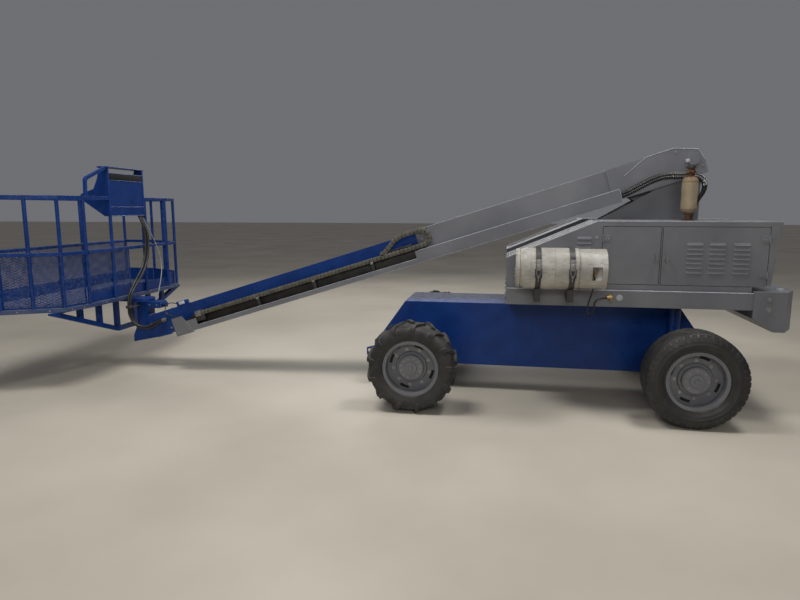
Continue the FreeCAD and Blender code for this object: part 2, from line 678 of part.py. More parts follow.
def louvres(name, across, x0, x1, z0, rows):
    """Pressed louvres: one wedge per row, proud of the sheet, open edge down."""
    outer = s.hood_outer.value
    wedges = []
    for row in range(rows):
        z = z0 + row * LOUVRE_PITCH
        corners = [
            FreeCAD.Vector(x0, across * (outer - 1), z), FreeCAD.Vector(x0, across * (outer + 9), z),
            FreeCAD.Vector(x0, across * (outer - 1), z + 24)]
        face = Part.Face(Part.makePolygon(corners + corners[:1]))
        wedges.append(face.extrude(FreeCAD.Vector(x1 - x0, 0, 0)))
    feature = doc.addObject("Part::Feature", name)
    feature.Shape = Part.makeCompound(wedges)
    return feature


def doors(side_name, across):
    """Flush sheet doors on outside strap hinges, with a T latch each."""
    face = s.hood_outer
    for door_name, hinged, latched, columns in DOORS:
        hinge, latch = getattr(s, hinged), getattr(s, latched)
        away = 1 if latch.value > hinge.value else -1
        x_hinge = slew_x + hinge - away * (s.door_gap / 2)
        edges = sorted((hinge, latch), key=lambda size: size.value)
        panel_y = (face - s.hood_wall, face)
        strap_y = (face - 1, face + 5)
        link_y = (face + 3, face + 9)
        handle_y = (face - 1, face + 26)
        grip_y = (face + 20, face + 32)
        spans = [panel_y, strap_y, link_y, handle_y, grip_y]
        if across < 0:
            spans = [(-high, -low) for low, high in spans]
        name = "door_%s_%s" % (door_name, side_name)
        pieces = [box(
            name + "_panel", slew_x + edges[0], slew_x + edges[1], spans[0][0], spans[0][1],
            s.door_low, s.door_high)]
        pin_y = across * (face + 6 + s.run_gap)
        for level, z0 in (("low", s.door_low + 60), ("high", s.door_high - 120)):
            pieces.append(bar(name + "_pin_" + level, "z", x_hinge, pin_y, z0, 6, 60))
            near, far = (x_hinge + 5, x_hinge + 60) if away > 0 else (x_hinge - 60, x_hinge - 5)
            pieces.append(box(name + "_strap_" + level, near, far, spans[1][0], spans[1][1], z0 + 5, z0 + 55))
            near, far = (x_hinge, x_hinge + 12) if away > 0 else (x_hinge - 12, x_hinge)
            pieces.append(box(name + "_link_" + level, near, far, spans[2][0], spans[2][1], z0 + 5, z0 + 55))
        latch_x = slew_x + latch - away * 32
        middle = (s.door_low + s.door_high) / 2 - 15
        pieces.append(box(
            name + "_latch", latch_x - 7, latch_x + 7, spans[3][0], spans[3][1], middle - 7, middle + 7))
        pieces.append(box(
            name + "_grip", latch_x - 7, latch_x + 7, spans[4][0], spans[4][1], middle - 32, middle + 32))
        for number, share in enumerate(columns):
            x0 = slew_x.value + edges[0].value + share * (edges[1].value - edges[0].value) - 57
            pieces.append(louvres(
                "%s_vents_%d" % (name, number), across, x0, x0 + 114, s.door_low.value + 94, 7))
        node(join(name, pieces), name)


def counterweight():
    """Cast block bolted to the deck's rear end, its toe cut back to clear the wheels."""
    front, rear = slew_x + s.deck_rear, slew_x + s.weight_rear
    block = plate("weight_block", "XZ", [
        (front, s.weight_top), (rear, s.weight_top), (rear, s.weight_low), (slew_x + s.weight_toe, s.weight_low),
        (front, s.weight_low + 100)], 2 * s.weight_half_width)
    corners = []
    for side_name, across in SIDES:
        y = across * s.weight_half_width
        corners.append(plate("weight_corner_" + side_name, "XY", [
            (rear - s.weight_chamfer, y + across * 10), (rear - s.weight_chamfer, y),
            (rear, y - across * s.weight_chamfer * 1.6), (rear + 10, y - across * s.weight_chamfer * 1.6),
            (rear + 10, y + across * 10)], 1000, s.weight_top))
    node(cut("counterweight", block, corners), "counterweight")


def engine_and_exhaust():
    """Engine as one plain block under the far hood, and the upright silencer on the near hood."""
    start, side = slew_x + s.engine_start, s.engine_side
    node(box("engine", start, start + s.engine_length, side, side + s.engine_width, s.deck_top,
             s.deck_top + s.engine_height), "engine")
    px, py = slew_x + s.silencer_x, -s.silencer_y
    base = s.hood_top
    pieces = [
        bar("silencer_foot", "z", px, py, base, 26, 60),
        bar("silencer_body", "z", px, py, base + 50, s.silencer_radius, 290),
        bar("silencer_neck", "z", px, py, base + 335, 28, 80),
        bar("silencer_clamp", "z", px, py, base + 372, 36, 18),
        bar("silencer_cap", "z", px, py, base + 412, 38, 16),
    ]
    node(join("silencer", pieces), "silencer")


def gas_tank():
    """Gas bottle on its side with a collar round its valve, on two cradles with band clamps."""
    x0, x1 = slew_x + s.tank_start, slew_x + s.tank_start + s.tank_length
    y, z, radius = -s.tank_y, s.tank_z, s.tank_radius
    turn = FreeCAD.Rotation(FreeCAD.Vector(0, 0, 1), 90)

    def barrel(name, section):
        body = turned(name, section, 0, y, z)
        body.Placement = FreeCAD.Placement(body.Placement.Base, turn)
        return place(body, x0, y, z)

    # Columns: along the bottle from its foot end, radius.
    length = s.tank_length
    shell = [(0, 0), (0, radius - 12), (10, radius - 6), (30, radius - 6), (34, radius - 16), (60, radius - 4),
             (80, radius), (length - 215, radius), (length - 185, radius - 10), (length - 160, radius - 40),
             (length - 150, 0)]
    body = barrel("tank_body", [(-a, b) for a, b in shell])
    collar = [(length - 200, radius - 14), (length - 200, radius - 6), (length, radius - 6),
              (length, radius - 14)]
    ring = barrel("tank_collar_ring", [(-a, b) for a, b in collar])
    window = box("tank_window", x1 - 110, x1 - 40, y - radius - 10, y - 40, z - 75, z + 25)
    valve = bar("tank_valve", "x", x1 - 160, y, z, 26, 110)
    node(join("gas_tank", [body, cut("tank_collar", ring, [window]), valve]), "gas_tank")
    carriers = []
    for number, share in enumerate((0.25, 0.62)):
        cx = x0 + share * length
        outer = radius + 7
        band = bar("band_%d" % number, "x", cx - 20, y, z, outer, 40)
        hole = bar("band_hole_%d" % number, "x", cx - 25, y, z, radius + 0.3, 50)
        ring = cut("band_ring_%d" % number, band, [hole])
        foot = z - radius
        cradle = box(
            "cradle_%d" % number, cx - 24, cx + 24, y - 60, y + 60, s.deck_top - 70, foot - s.run_gap)
        arm = box("cradle_arm_%d" % number, cx - 18, cx + 18, y, -s.deck_half_width, s.deck_top - 70,
                  s.deck_top - 25)
        buckle = box(
            "buckle_%d" % number, cx - 26, cx + 26, y - outer - 12, y - outer + 4, z - 60, z + 10)
        carriers.append(join("tank_carrier_%d" % number, [ring, cradle, arm, buckle]))
    node(gather("tank_brackets", carriers), "tank_brackets")


def lean(thing):
    """Turns a piece built level, pointing to -X from the pivot, onto the lowered boom's line."""
    tilt = FreeCAD.Rotation(FreeCAD.Vector(0, -1, 0), s.boom_drop.value)
    thing.Placement = FreeCAD.Placement(FreeCAD.Vector(), tilt)
    bind(thing, "Placement.Rotation.Angle", s.boom_drop)
    return place(thing, slew_x + s.pivot_x, 0, s.pivot_z)


def along(name, u0, u1, y0, y1, v0, v1):
    """A block in the boom's own frame: u from the pivot to the tip, v square to it, upwards."""
    return box(name, -as_size(u1), -as_size(u0), y0, y1, v0, v1)


def profile(name, points, thick, at, rounds=()):
    """A plate in the boom's own frame, with its outline in (u, v)."""
    flat = [(-as_size(u), v) for u, v in points]
    holes = [(-as_size(u), v, radius) for u, v, radius in rounds]
    return plate(name, "XZ", flat, thick, at, rounds=holes)


def hollow(name, u0, u1, half, low, high):
    """A box section of the boom, open at both ends."""
    outer = along(name + "_outer", u0, u1, -half, half, low, high)
    wall = s.boom_wall
    bore = along(name + "_bore", u0 - 10, u1 + 10, wall - half, half - wall, low + wall, high - wall)
    return cut(name + "_tube", outer, [bore])


def pads(name, u0, u1, inner, outer):
    """Wear pads that fill the gap between two sections; each is (half width, low, high)."""
    pieces = []
    for side_name, across in SIDES:
        y = (inner[0], outer[0]) if across > 0 else (-outer[0], -inner[0])
        pieces.append(along(name + "_" + side_name, u0, u1, y[0], y[1], -60, 50))
    pieces.append(along(name + "_top", u0, u1, -70, 70, inner[2], outer[2]))
    pieces.append(along(name + "_bottom", u0, u1, -70, 70, outer[1], inner[1]))
    return pieces


def base_boom():
    """Outer boom section between two cheeks that fork round the uprights, with the cylinder's lugs."""
    half, low, high, wall = s.base_half_width, -s.base_low, s.base_high, s.boom_wall
    tube = hollow("base", s.base_start, s.base_length, half, low, high)
    back_wall = along("base_back", s.base_start, s.base_start + wall, -half, half, low, high)
    fit = (s.fly_half_width + s.run_gap, -s.fly_low - s.run_gap, s.fly_high + s.run_gap)
    seat = (half - wall, low + wall, high - wall)
    pieces = [tube, back_wall] + pads("mouth_pad", s.base_length - 60, s.base_length, fit, seat)
    inner = s.upright_in + s.upright_thick + s.fork_gap
    cheek = [
        (-s.base_rear, -140), (-s.base_rear, -30), (-60, 70), (126, 135), (360, 135), (700, high), (700, low),
        (400, low)]
    for side_name, across in SIDES:
        pieces.append(profile(
            "cheek_" + side_name, cheek, s.fork_plate, across * (inner + s.fork_plate / 2),
            rounds=[(0, 0, s.pivot_radius + s.run_gap)]))
        lug_y = across * (s.rod_eye_half + s.run_gap + 9)
        eye_u, eye_v = s.lug_u, -s.lug_v
        pieces.append(profile("lift_lug_" + side_name, [
            (eye_u - 46, low + 4), (eye_u - 46, eye_v), (eye_u - 20, eye_v - 42), (eye_u + 20, eye_v - 42),
            (eye_u + 46, eye_v), (eye_u + 150, low + 4)], 18, lug_y))
        boss = lug_y + across * 9
        start = boss if across > 0 else boss - 14
        pieces.append(bar("lift_boss_" + side_name, "y", -eye_u, start, eye_v, 40, 14))
    for number, back in enumerate((1550, 850, 150)):
        u0 = s.base_length - back
        pieces.append(along(
            "tray_bracket_%d" % number, u0, u0 + 90, -s.tray_inner, 2 - half, -150, -80))
    node(lean(join("base_boom", pieces)), "base_boom")


def hose_tray():
    """Sheet duct beside the boom: closed behind the mouth, an open trough with an end plate ahead."""
    near, inner = -s.tray_outer, -s.tray_inner
    low, high, wall = -s.tray_low, -s.tray_high, 3
    outer = along("tray_outer", s.tray_start, s.tray_end, near, inner, low, high)
    bore = along("tray_bore", s.tray_start - 10, s.tray_end - wall, near + wall, inner - wall, low + wall,
                 high - wall)
    slot = along("tray_slot", s.base_length, s.tray_end - wall, near + wall, inner - wall, high - 20, high + 20)
    open_side = along(
        "tray_side", s.base_length + 40, s.tray_end - 260, near - 10, near + 10, low + 45, high + 20)
    end = profile("tray_end", [
        (s.tray_end - 200, low - 12), (s.tray_end - 120, 0), (s.tray_end, 0), (s.tray_end, low - 12)],
        4, near - 2)
    node(lean(join("hose_tray", [cut("tray_shell", outer, [bore, slot, open_side]), end])), "hose_tray")


def hose_chain():
    """Cable chain: a loop at the boom's mouth and a strand along the tray to a bracket near its end."""
    near, inner = -s.tray_outer + 6, -s.tray_inner - 8
    depth = inner - near
    middle = (inner + near) / 2
    thick, top = s.chain_thick, s.chain_top
    loop_u, radius = s.base_length - s.chain_loop_back, s.chain_loop_radius
    centre = top - thick + radius
    strand = along("chain_strand", loop_u, s.chain_end, near, inner, top - thick, top)
    disc = bar("chain_disc", "y", -loop_u, near, centre, radius, depth)
    eye = bar("chain_eye", "y", -loop_u, near - 5, centre, radius - thick, depth + 10)
    nose = along("chain_back", loop_u, loop_u + 230, near, inner, centre + radius - thick, centre + radius)
    drop = profile("chain_drop", [
        (loop_u + 225, centre + radius - thick), (loop_u + 225, centre + radius), (loop_u + 270, centre + radius),
        (loop_u + 420, top - 4), (loop_u + 350, top - 4)], depth, middle)
    holder = along("chain_bracket", s.chain_end - 90, s.chain_end + 25, near, inner, top - thick - 30, top + 22)
    seat = along("chain_seat", s.chain_end - 60, s.chain_end, near, inner, -s.tray_high, top - thick)
    rests = []
    for number, ahead in enumerate((450, 1050, 1650)):
        u0 = s.base_length + ahead
        rests.append(along("chain_rest_%d" % number, u0, u0 + 30, near, inner, -s.tray_low + 3, top - thick))
    ring = cut("chain_loop", disc, [eye])
    node(lean(join("hose_chain", [strand, ring, nose, drop, holder, seat] + rests)), "hose_chain")


def fly_boom():
    """Inner boom section with the fork head that carries the levelling pin."""
    half, low, high, wall = s.fly_half_width, -s.fly_low, s.fly_high, s.boom_wall
    tube = hollow("fly", s.fly_start, s.fly_end, half, low, high)
    cap = along("fly_cap", s.fly_end - wall, s.fly_end, -half, half, low, high)
    fit = (s.base_half_width - wall - s.run_gap, wall - s.base_low + s.run_gap, s.base_high - wall - s.run_gap)
    pieces = [tube, cap] + pads("heel_pad", s.fly_start, s.fly_start + 60, (half, low, high), fit)
    pin_u = s.knuckle_reach
    for side_name, across in SIDES:
        inner = s.head_inner
        thick = half - inner
        pieces.append(profile("head_" + side_name, [
            (s.fly_end - 20, low), (s.fly_end - 20, high), (pin_u - 40, high), (pin_u + 70, 70),
            (pin_u + 105, 0), (pin_u + 70, -75), (pin_u - 20, low - 18), (s.fly_end + 60, low - 24),
            (s.fly_end + 30, low)], thick, across * (inner + thick / 2),
            rounds=[(pin_u, 0, s.knuckle_radius + s.run_gap)]))
    node(lean(join("fly_boom", pieces)), "fly_boom")


def level_link():
    """Knuckle that stays upright: tongue on the levelling pin, rotator post, foot and motor box."""
    x, z = slew_x + level_x, level_z
    post = slew_x + post_x
    half = s.post_half
    outline = [
        (post - half - 55, s.foot_z), (post - half - 55, s.foot_z + 70), (post - half, s.foot_z + 190),
        (post - half, s.post_top), (post + half, s.post_top), (post + half, z + 95), (x + 30, z + 60),
        (x + 55, z), (x + 30, z - 135)]
    block = plate("link_block", "XZ", outline, 2 * half)
    reach = s.fly_half_width + s.run_gap
    pieces = [
        block,
        bar("link_pin", "y", x, -reach - 1, z, s.knuckle_radius, 2 * reach + 2),
        bar("link_pin_near", "y", x, -reach - 14, z, 36, 14),
        bar("link_pin_far", "y", x, reach, z, 36, 14),
        box("link_box", post + half - 2, post + s.motor_reach, -70, 70, s.post_top - 64, s.post_top),
        bar("link_motor", "x", post + s.motor_reach - 1, 0, s.post_top - 32, 26, 44),
    ]
    node(join("level_link", pieces), "level_link")


def platform_outline():
    """Corners of the platform seen from above, from the near rear one round the front to the far rear one."""
    rear, front = slew_x + platform_rear, slew_x + platform_front
    near_half = [
        (rear, -s.rear_flat), (rear - s.corner_step, -s.corner_half),
        (rear - s.corner_depth, -s.platform_half), (front, -s.platform_half)]
    return near_half + [(x, -y) for x, y in reversed(near_half)]


def inset(points, amount):
    """The same outline moved inwards by an amount, with mitred corners."""
    places = [(x.value, as_size(y).value) for x, y in points]
    count = len(places)
    moved = []
    for i, (x, y) in enumerate(points):
        before, here, after = places[i - 1], places[i], places[(i + 1) % count]
        normals = []
        for a, b in ((before, here), (here, after)):
            run = math.hypot(b[0] - a[0], b[1] - a[1])
            normals.append(((b[1] - a[1]) / run, -(b[0] - a[0]) / run))
        (ax, ay), (bx, by) = normals
        share = 1 + ax * bx + ay * by
        moved.append((x + amount * ((ax + bx) / share), y + amount * ((ay + by) / share)))
    return moved


def board(name, number, start, end, low, high):
    """A flat wall inside one straight side of the platform, cut short before the corners."""
    line = inset(platform_outline(), end)
    (x0, y0), (x1, y1) = line[number], line[number + 1]
    rise, run = as_size(y1).value - as_size(y0).value, x1.value - x0.value
    length = math.hypot(rise, run)
    ux, uy = run / length, rise / length
    back, out = s.board_gap, end - start
    x0, y0, x1, y1 = x0 + back * ux, y0 + back * uy, x1 - back * ux, y1 - back * uy
    loop = [(x0, y0), (x1, y1), (x1 - out * uy, y1 + out * ux), (x0 - out * uy, y0 + out * ux)]
    return plate(name, "XY", loop, high - low, (low + high) / 2)


def fence(name, first, last, start, end, low, high):
    """A wall that follows the platform's edge from corner to corner, between two depths inwards."""
    corners = platform_outline()
    outer, inner = inset(corners, start), inset(corners, end)
    loop = outer[first:last + 1] + list(reversed(inner[first:last + 1]))
    return plate(name, "XY", loop, high - low, (low + high) / 2)


def platform_floor():
    """Floor plate with its raised tread sheet, on a tube frame with three beams."""
    corners = platform_outline()
    tube, top, wall = s.rail_tube, s.floor_z, s.floor_wall
    frame_low = top - wall - tube
    rear, front = slew_x + platform_rear, slew_x + platform_front
    tread = inset(corners, tube + s.mesh_thick + s.board_gap)
    pieces = [
        plate("floor_plate", "XY", corners, wall, top - wall / 2),
        plate("floor_tread", "XY", tread, s.tread_thick, top + s.tread_thick / 2),
        plate("floor_frame", "XY", corners, tube, top - wall - tube / 2, windows=[inset(corners, tube)]),
    ]
    for number, y in enumerate((-s.beam_place, 0, s.beam_place)):
        pieces.append(box(
            "floor_beam_%d" % number, front + tube / 2, rear - tube / 2, y - 20, y + 20, frame_low, top - wall))
    node(join("platform_floor", pieces), "platform_floor")


def toe_boards():
    """Upright sheets on the floor inside the rails: high ones at the far end, low ones in front and behind."""
    top, near_face = s.floor_z, s.rail_tube + s.run_gap
    boards = [board("toe_far_%d" % n, n, near_face, near_face + s.mesh_thick, top, top + s.toe_far)
              for n in (4, 5, 6)]
    boards.append(board("toe_front", 3, near_face, near_face + s.mesh_thick, top, top + s.toe_low))
    rear = slew_x + platform_rear - near_face
    reach = s.rear_flat - s.rail_tube
    boards.append(box("toe_rear", rear - s.mesh_thick, rear, -reach, reach, top, top + s.toe_low))
    node(gather("toe_boards", boards), "toe_boards")


def platform_truss():
    """Truss across the machine below the floor, with the rotator's arm and disc."""
    x = slew_x + platform_rear - s.truss_set
    frame_low = s.floor_z - s.floor_wall - s.rail_tube
    middle, chord, roof = s.truss_middle, s.truss_chord, frame_low - s.truss_roof
    slope = (s.truss_end_z - s.truss_z) / (s.truss_half - middle)
    outline = [(-s.truss_half, s.truss_end_z), (-middle, s.truss_z), (middle, s.truss_z),
               (s.truss_half, s.truss_end_z), (s.truss_half, frame_low), (-s.truss_half, frame_low)]
    inside = middle - s.truss_bar / 2
    windows = [[(-inside, s.truss_z + chord), (inside, s.truss_z + chord), (inside, roof), (-inside, roof)]]
    first = middle + s.truss_bar / 2
    wide = (s.truss_half - s.truss_end - first - 2 * s.truss_bar) / 3
    for number in range(3):
        inner = first + number * (wide + s.truss_bar)
        outer = inner + wide
        for sign in (-1, 1):
            windows.append([
                (sign * inner, s.truss_z + slope * (inner - middle) + chord),
                (sign * outer, s.truss_z + slope * (outer - middle) + chord),
                (sign * outer, roof), (sign * inner, roof)])
    post = slew_x + post_x
    seat = s.post_top + s.run_gap
    pieces = [
        plate("truss", "YZ", outline, s.truss_thick, x, windows=windows),
        bar("rotator_disc", "z", post, 0, seat, s.rotator_radius, frame_low - seat),
        box("rotator_arm", x, post, 10 - s.rotator_radius, s.rotator_radius - 10, seat, frame_low)]
    node(join("platform_truss", pieces), "platform_truss")


def posts(name, places, low, high):
    half = s.rail_tube / 2
    return [bar("%s_%d" % (name, i), "z", x, y, low, half, high - low) for i, (x, y) in enumerate(places)]


def between(first, second, share):
    return tuple(as_size(a) * (1 - share) + as_size(b) * share for a, b in zip(first, second))


def platform_rails():
    """Guard rails in four panels round the platform, the rear one open for the gate."""
    tube, floor = s.rail_tube, s.floor_z
    top, mid = floor + s.rail_high, floor + s.rail_mid
    centres = inset(platform_outline(), tube / 2)
    rear = slew_x + platform_rear
    edge = s.rear_flat - tube / 2
    for side_name, first, last, sign in (("near", 0, 3, -1), ("far", 4, 7, 1)):
        pieces = [
            fence("top_rail_" + side_name, first, last, 0, tube, top - tube, top),
            fence("mid_rail_" + side_name, first, last, 0, tube, mid - tube, mid)]
        spots = centres[first:last + 1]
        spots[0 if sign < 0 else -1] = (rear - tube / 2, sign * edge)
        middle = between(centres[first + 1], centres[first + 2], 0.5)
        pieces += posts("rail_post_" + side_name, spots + [middle], floor, top - 2)
        if sign > 0:
            for level, z0 in (("low", mid - 60), ("high", top - 125)):
                pieces.append(box(
                    "gate_bracket_" + level, rear - tube - 14, rear - tube + 2, s.rear_flat - tube, edge,
                    z0, z0 + 70))
        node(join("rail_" + side_name, pieces), "rail_" + side_name)
    front = [
        fence("top_rail_front", 3, 4, 0, tube, top - tube, top),
        fence("mid_rail_front", 3, 4, 0, tube, mid - tube, mid)]
    x = slew_x + platform_front + tube / 2
    front += posts("rail_post_front", [(x, -400), (x, 400)], floor, top - 2)
    rim = s.platform_half - tube
    front_node = cut("rail_front_cut", join("rail_front_whole", front), [
        box("front_trim_near", x - 50, x + 200, -rim - 200, -rim, floor - 10, top + 10),
        box("front_trim_far", x - 50, x + 200, rim, rim + 200, floor - 10, top + 10)])
    node(front_node, "rail_front")
    start, stop = -s.rear_flat + tube, s.gate_start
    pieces = [
        box("top_rail_rear", rear - tube, rear, start, s.console_start, top - tube, top),
        box("mid_rail_rear", rear - tube, rear, start, stop - tube / 2, mid - tube, mid)]
    pieces += posts("rail_post_rear", [
        (rear - tube / 2, s.console_start + tube / 2), (rear - tube / 2, stop - tube / 2)], floor, s.console_low)
    node(join("rail_rear", pieces), "rail_rear")


def mesh_panels():
    """Screens of expanded metal inside the rails, below their middle: down to the floor at the near end."""
    start = s.rail_tube + s.run_gap
    end = start + s.mesh_thick
    low, high = s.floor_z + s.toe_low + s.run_gap, s.floor_z + s.rail_mid - 6
    rear = slew_x + platform_rear
    panels = [board("mesh_near_%d" % n, n, start, end, s.floor_z, high) for n in (0, 1, 2)]
    panels.append(board("mesh_front", 3, start, end, low, high))
    panels.append(box("mesh_rear", rear - end, rear - start, -s.rear_flat + s.rail_tube + 10, 0, low, high))
    node(gather("mesh_panels", panels), "mesh_panels")


def console():
    """Operator's console over the rear rail: hooded sheet box, canopy and guard tube, with its panel."""
    rear = slew_x + platform_rear
    low, start, stop, wall = s.console_low, s.console_start, s.gate_start, s.hood_wall
    high = s.console_high
    cheek = [
        (rear, low), (rear, high), (rear - 90, high), (rear - 120, low + 360), (rear - 165, low + 265),
        (rear - 310, low + 215), (rear - 310, low + 165), (rear - 60, low)]
    pieces = [box("console_back", rear - wall, rear, start, stop, low, high - 55)]
    for side_name, y in (("near", start + wall / 2), ("far", stop - wall / 2)):
        pieces.append(plate("console_cheek_" + side_name, "XZ", cheek, wall, y))
    pieces.append(plate("console_belly", "XZ", [
        (rear, low), (rear - 60, low), (rear - 310, low + 165), (rear - 310, low + 171), (rear - 58, low + 6),
        (rear, low + 6)], stop - start, (start + stop) / 2))
    pieces.append(box("canopy", rear - 100, rear + 8, start - 18, stop + 18, high - 4, high + 8))
    hoop = [
        (start - 330, s.floor_z + s.rail_high), (start - 322, high - 130), (start - 300, high - 105),
        (start - 16, high + 8), (start - 4, high - 16), (start - 280, high - 128), (start - 297, high - 142),
        (start - 304, s.floor_z + s.rail_high)]
    pieces.append(plate("guard_tube", "YZ", hoop, 26, rear - s.rail_tube / 2))
    node(join("console_box", pieces), "console_box")
    panel = plate("panel_block", "XZ", [
        (rear - 306, low + 178), (rear - 306, low + 212), (rear - 150, low + 262), (rear - 60, low + 262),
        (rear - 60, low + 178)], stop - start - 2 * wall, (start + stop) / 2)
    switches = [bar("switch_%d" % i, "z", rear - 100, start + 120 + i * 90, low + 250, 14, 40) for i in range(3)]
    lever = bar("lever", "z", rear - 110, stop - 120, low + 250, 10, 110)
    grip = bar("lever_grip", "z", rear - 110, stop - 120, low + 330, 18, 60)
    node(join("control_panel", [panel, lever, grip] + switches), "control_panel")


def gate():
    """Swing gate of square tube that opens inwards, on two pins beside the far rear post."""
    tube = s.rail_tube - 4
    rear = slew_x + platform_rear
    x0, x1 = rear - tube - 2, rear - 2
    near, far = s.gate_start + 8, s.rear_flat - s.rail_tube - 8
    top, mid = s.floor_z + s.rail_high, s.floor_z + s.rail_mid
    pieces = [
        box("gate_top", x0, x1, near, far, top - tube, top),
        box("gate_middle", x0, x1, near, far, mid - tube, mid),
        box("gate_side_near", x0, x1, near, near + tube, mid - tube, top),
        box("gate_side_far", x0, x1, far - tube, far, mid - tube, top)]
    hinge_x, hinge_y = rear - s.rail_tube - 6, s.rear_flat - s.rail_tube - 4
    for level, z0 in (("low", mid - 50), ("high", top - 120)):
        pieces.append(bar("gate_pin_" + level, "z", hinge_x, hinge_y, z0, 3.7, 60))
        pieces.append(box("gate_strap_" + level, hinge_x, x0 + 2, far - 16, hinge_y, z0 + 5, z0 + 55))
    node(join("platform_gate", pieces), "platform_gate")


def root(size):
    return Size(math.sqrt(size.value), "sqrt(%s)" % size.text)


def bearing(rise, run):
    angle = math.degrees(math.atan2(rise.value, run.value))
    return Size(angle, "atan2(%s; %s)" % (rise.text, run.text))


# Lift cylinder: its base pin, the boom lug's eye and the line between them.
lug_x = s.pivot_x - s.lug_u * cosine(s.boom_drop) + s.lug_v * sine(s.boom_drop)
lug_z = s.pivot_z - s.lug_u * sine(s.boom_drop) - s.lug_v * cosine(s.boom_drop)
lift_run, lift_rise = lug_x - s.lift_x, lug_z - s.lift_z
lift_length = root(lift_run * lift_run + lift_rise * lift_rise)


def aim(thing):
    """Turns a piece built level, pointing to +X from its base pin, onto the lift cylinder's line."""
    angle = bearing(lift_rise, lift_run)
    tilt = FreeCAD.Rotation(FreeCAD.Vector(0, -1, 0), angle.value)
    thing.Placement = FreeCAD.Placement(FreeCAD.Vector(), tilt)
    bind(thing, "Placement.Rotation.Angle", angle)
    return place(thing, slew_x + s.lift_x, 0, s.lift_z)


def lift_cylinder():
    """Lift cylinder's barrel on the deck's ears, and its rod up to the boom's lugs."""
    eye = bar("barrel_eye", "y", 0, -s.lift_eye_half, 0, 45, 2 * s.lift_eye_half)
    neck = bar("barrel_neck", "x", 20, 0, 0, 34, 60)
    tube = bar("barrel_tube", "x", 60, 0, 0, s.barrel_radius, lift_length - 200)
    collar = bar("barrel_collar", "x", lift_length - 190, 0, 0, s.barrel_radius + 5, 50)
    bore = bar("barrel_bore", "x", 95, 0, 0, s.rod_radius + s.run_gap, lift_length)
    pin_hole = bar("barrel_pin_hole", "y", 0, -40, 0, s.lift_pin + s.run_gap, 80)
    whole = join("barrel_whole", [eye, neck, tube, collar])
    node(aim(cut("lift_barrel", whole, [bore, pin_hole])), "lift_barrel")
    rod = bar("rod_shaft", "x", 105, 0, 0, s.rod_radius, lift_length - 125)
    rod_eye = bar("rod_eye", "y", lift_length, -s.rod_eye_half, 0, 42, 2 * s.rod_eye_half)
    node(aim(join("lift_rod", [rod, rod_eye])), "lift_rod")


def build():
    chassis_frame()
    tie_down_lugs()
    slew_ring()
    drive_axle()
    steer_axle()
    steering()
    for end_name, x, lugged in (("drive", slew_x + s.drive_x, True), ("steer", slew_x + steer_x, False)):
        for side_name, across in SIDES:
            wheel("%s_%s" % (end_name, side_name), x, across, lugged)
    deck()
    uprights()
    counterweight()
    engine_and_exhaust()
    gas_tank()
    for side_name, across in SIDES:
        hood(side_name, across)
        doors(side_name, across)
    lift_cylinder()
    base_boom()
    hose_tray()
    hose_chain()
    fly_boom()
    level_link()
    platform_floor()
    toe_boards()
    platform_truss()
    platform_rails()
    mesh_panels()
    console()
    gate()


build()
doc.recompute()
faults = [thing.Name for thing in doc.Objects if "Invalid" in thing.State or "Error" in thing.State]
for thing in NODES:
    if thing.Shape.isNull() or not thing.Shape.isValid():
        faults.append(thing.Label)
if faults:
    raise SystemExit("These failed: " + ", ".join(faults))
for thing in NODES:
    thing.Shape.exportStep("parts/%s.step" % thing.Label)
print(len(NODES), "sub-parts; slew axis at X =", round(slew_x.value, 2))
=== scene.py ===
import math

import bmesh
import bpy
from mathutils import Matrix, Vector


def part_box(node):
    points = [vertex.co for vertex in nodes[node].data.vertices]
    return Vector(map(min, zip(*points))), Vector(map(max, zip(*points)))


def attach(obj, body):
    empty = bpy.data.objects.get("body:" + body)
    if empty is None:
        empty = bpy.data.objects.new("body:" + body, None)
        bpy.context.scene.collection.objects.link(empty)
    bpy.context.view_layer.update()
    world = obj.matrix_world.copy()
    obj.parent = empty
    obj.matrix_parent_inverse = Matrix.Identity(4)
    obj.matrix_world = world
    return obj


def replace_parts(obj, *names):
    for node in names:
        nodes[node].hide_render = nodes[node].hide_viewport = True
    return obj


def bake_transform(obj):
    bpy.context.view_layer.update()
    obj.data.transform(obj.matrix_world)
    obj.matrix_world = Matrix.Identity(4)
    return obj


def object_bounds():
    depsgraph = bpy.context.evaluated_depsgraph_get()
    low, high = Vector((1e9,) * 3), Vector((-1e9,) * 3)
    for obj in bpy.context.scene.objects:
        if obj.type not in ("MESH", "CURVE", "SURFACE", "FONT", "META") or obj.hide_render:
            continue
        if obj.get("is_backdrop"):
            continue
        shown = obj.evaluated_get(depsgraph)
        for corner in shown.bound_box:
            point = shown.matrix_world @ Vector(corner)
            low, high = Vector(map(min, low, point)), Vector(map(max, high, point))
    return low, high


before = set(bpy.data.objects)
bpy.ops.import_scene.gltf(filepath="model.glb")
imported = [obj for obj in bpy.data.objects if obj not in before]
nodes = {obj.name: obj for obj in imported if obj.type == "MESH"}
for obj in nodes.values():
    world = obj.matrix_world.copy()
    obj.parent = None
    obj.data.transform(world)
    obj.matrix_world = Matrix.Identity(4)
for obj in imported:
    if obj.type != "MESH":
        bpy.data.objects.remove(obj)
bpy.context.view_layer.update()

# Workshop floor and light
# A pale, swept concrete floor with faint darker patches, lit by broad soft lamps overhead, and the camera
# where a standing person would hold it, a little under six metres from the machine.
FLOOR_REACH = 60.0
FLOOR_DARK = (0.46, 0.415, 0.335, 1)
FLOOR_PALE = (0.60, 0.545, 0.45, 1)
CAMERA_PLACE = Vector((1.264, -5.676, 1.65))
CAMERA_TURN = math.radians(10.0)
CAMERA_DIP = math.radians(8.7)
CAMERA_LENS = 27.05
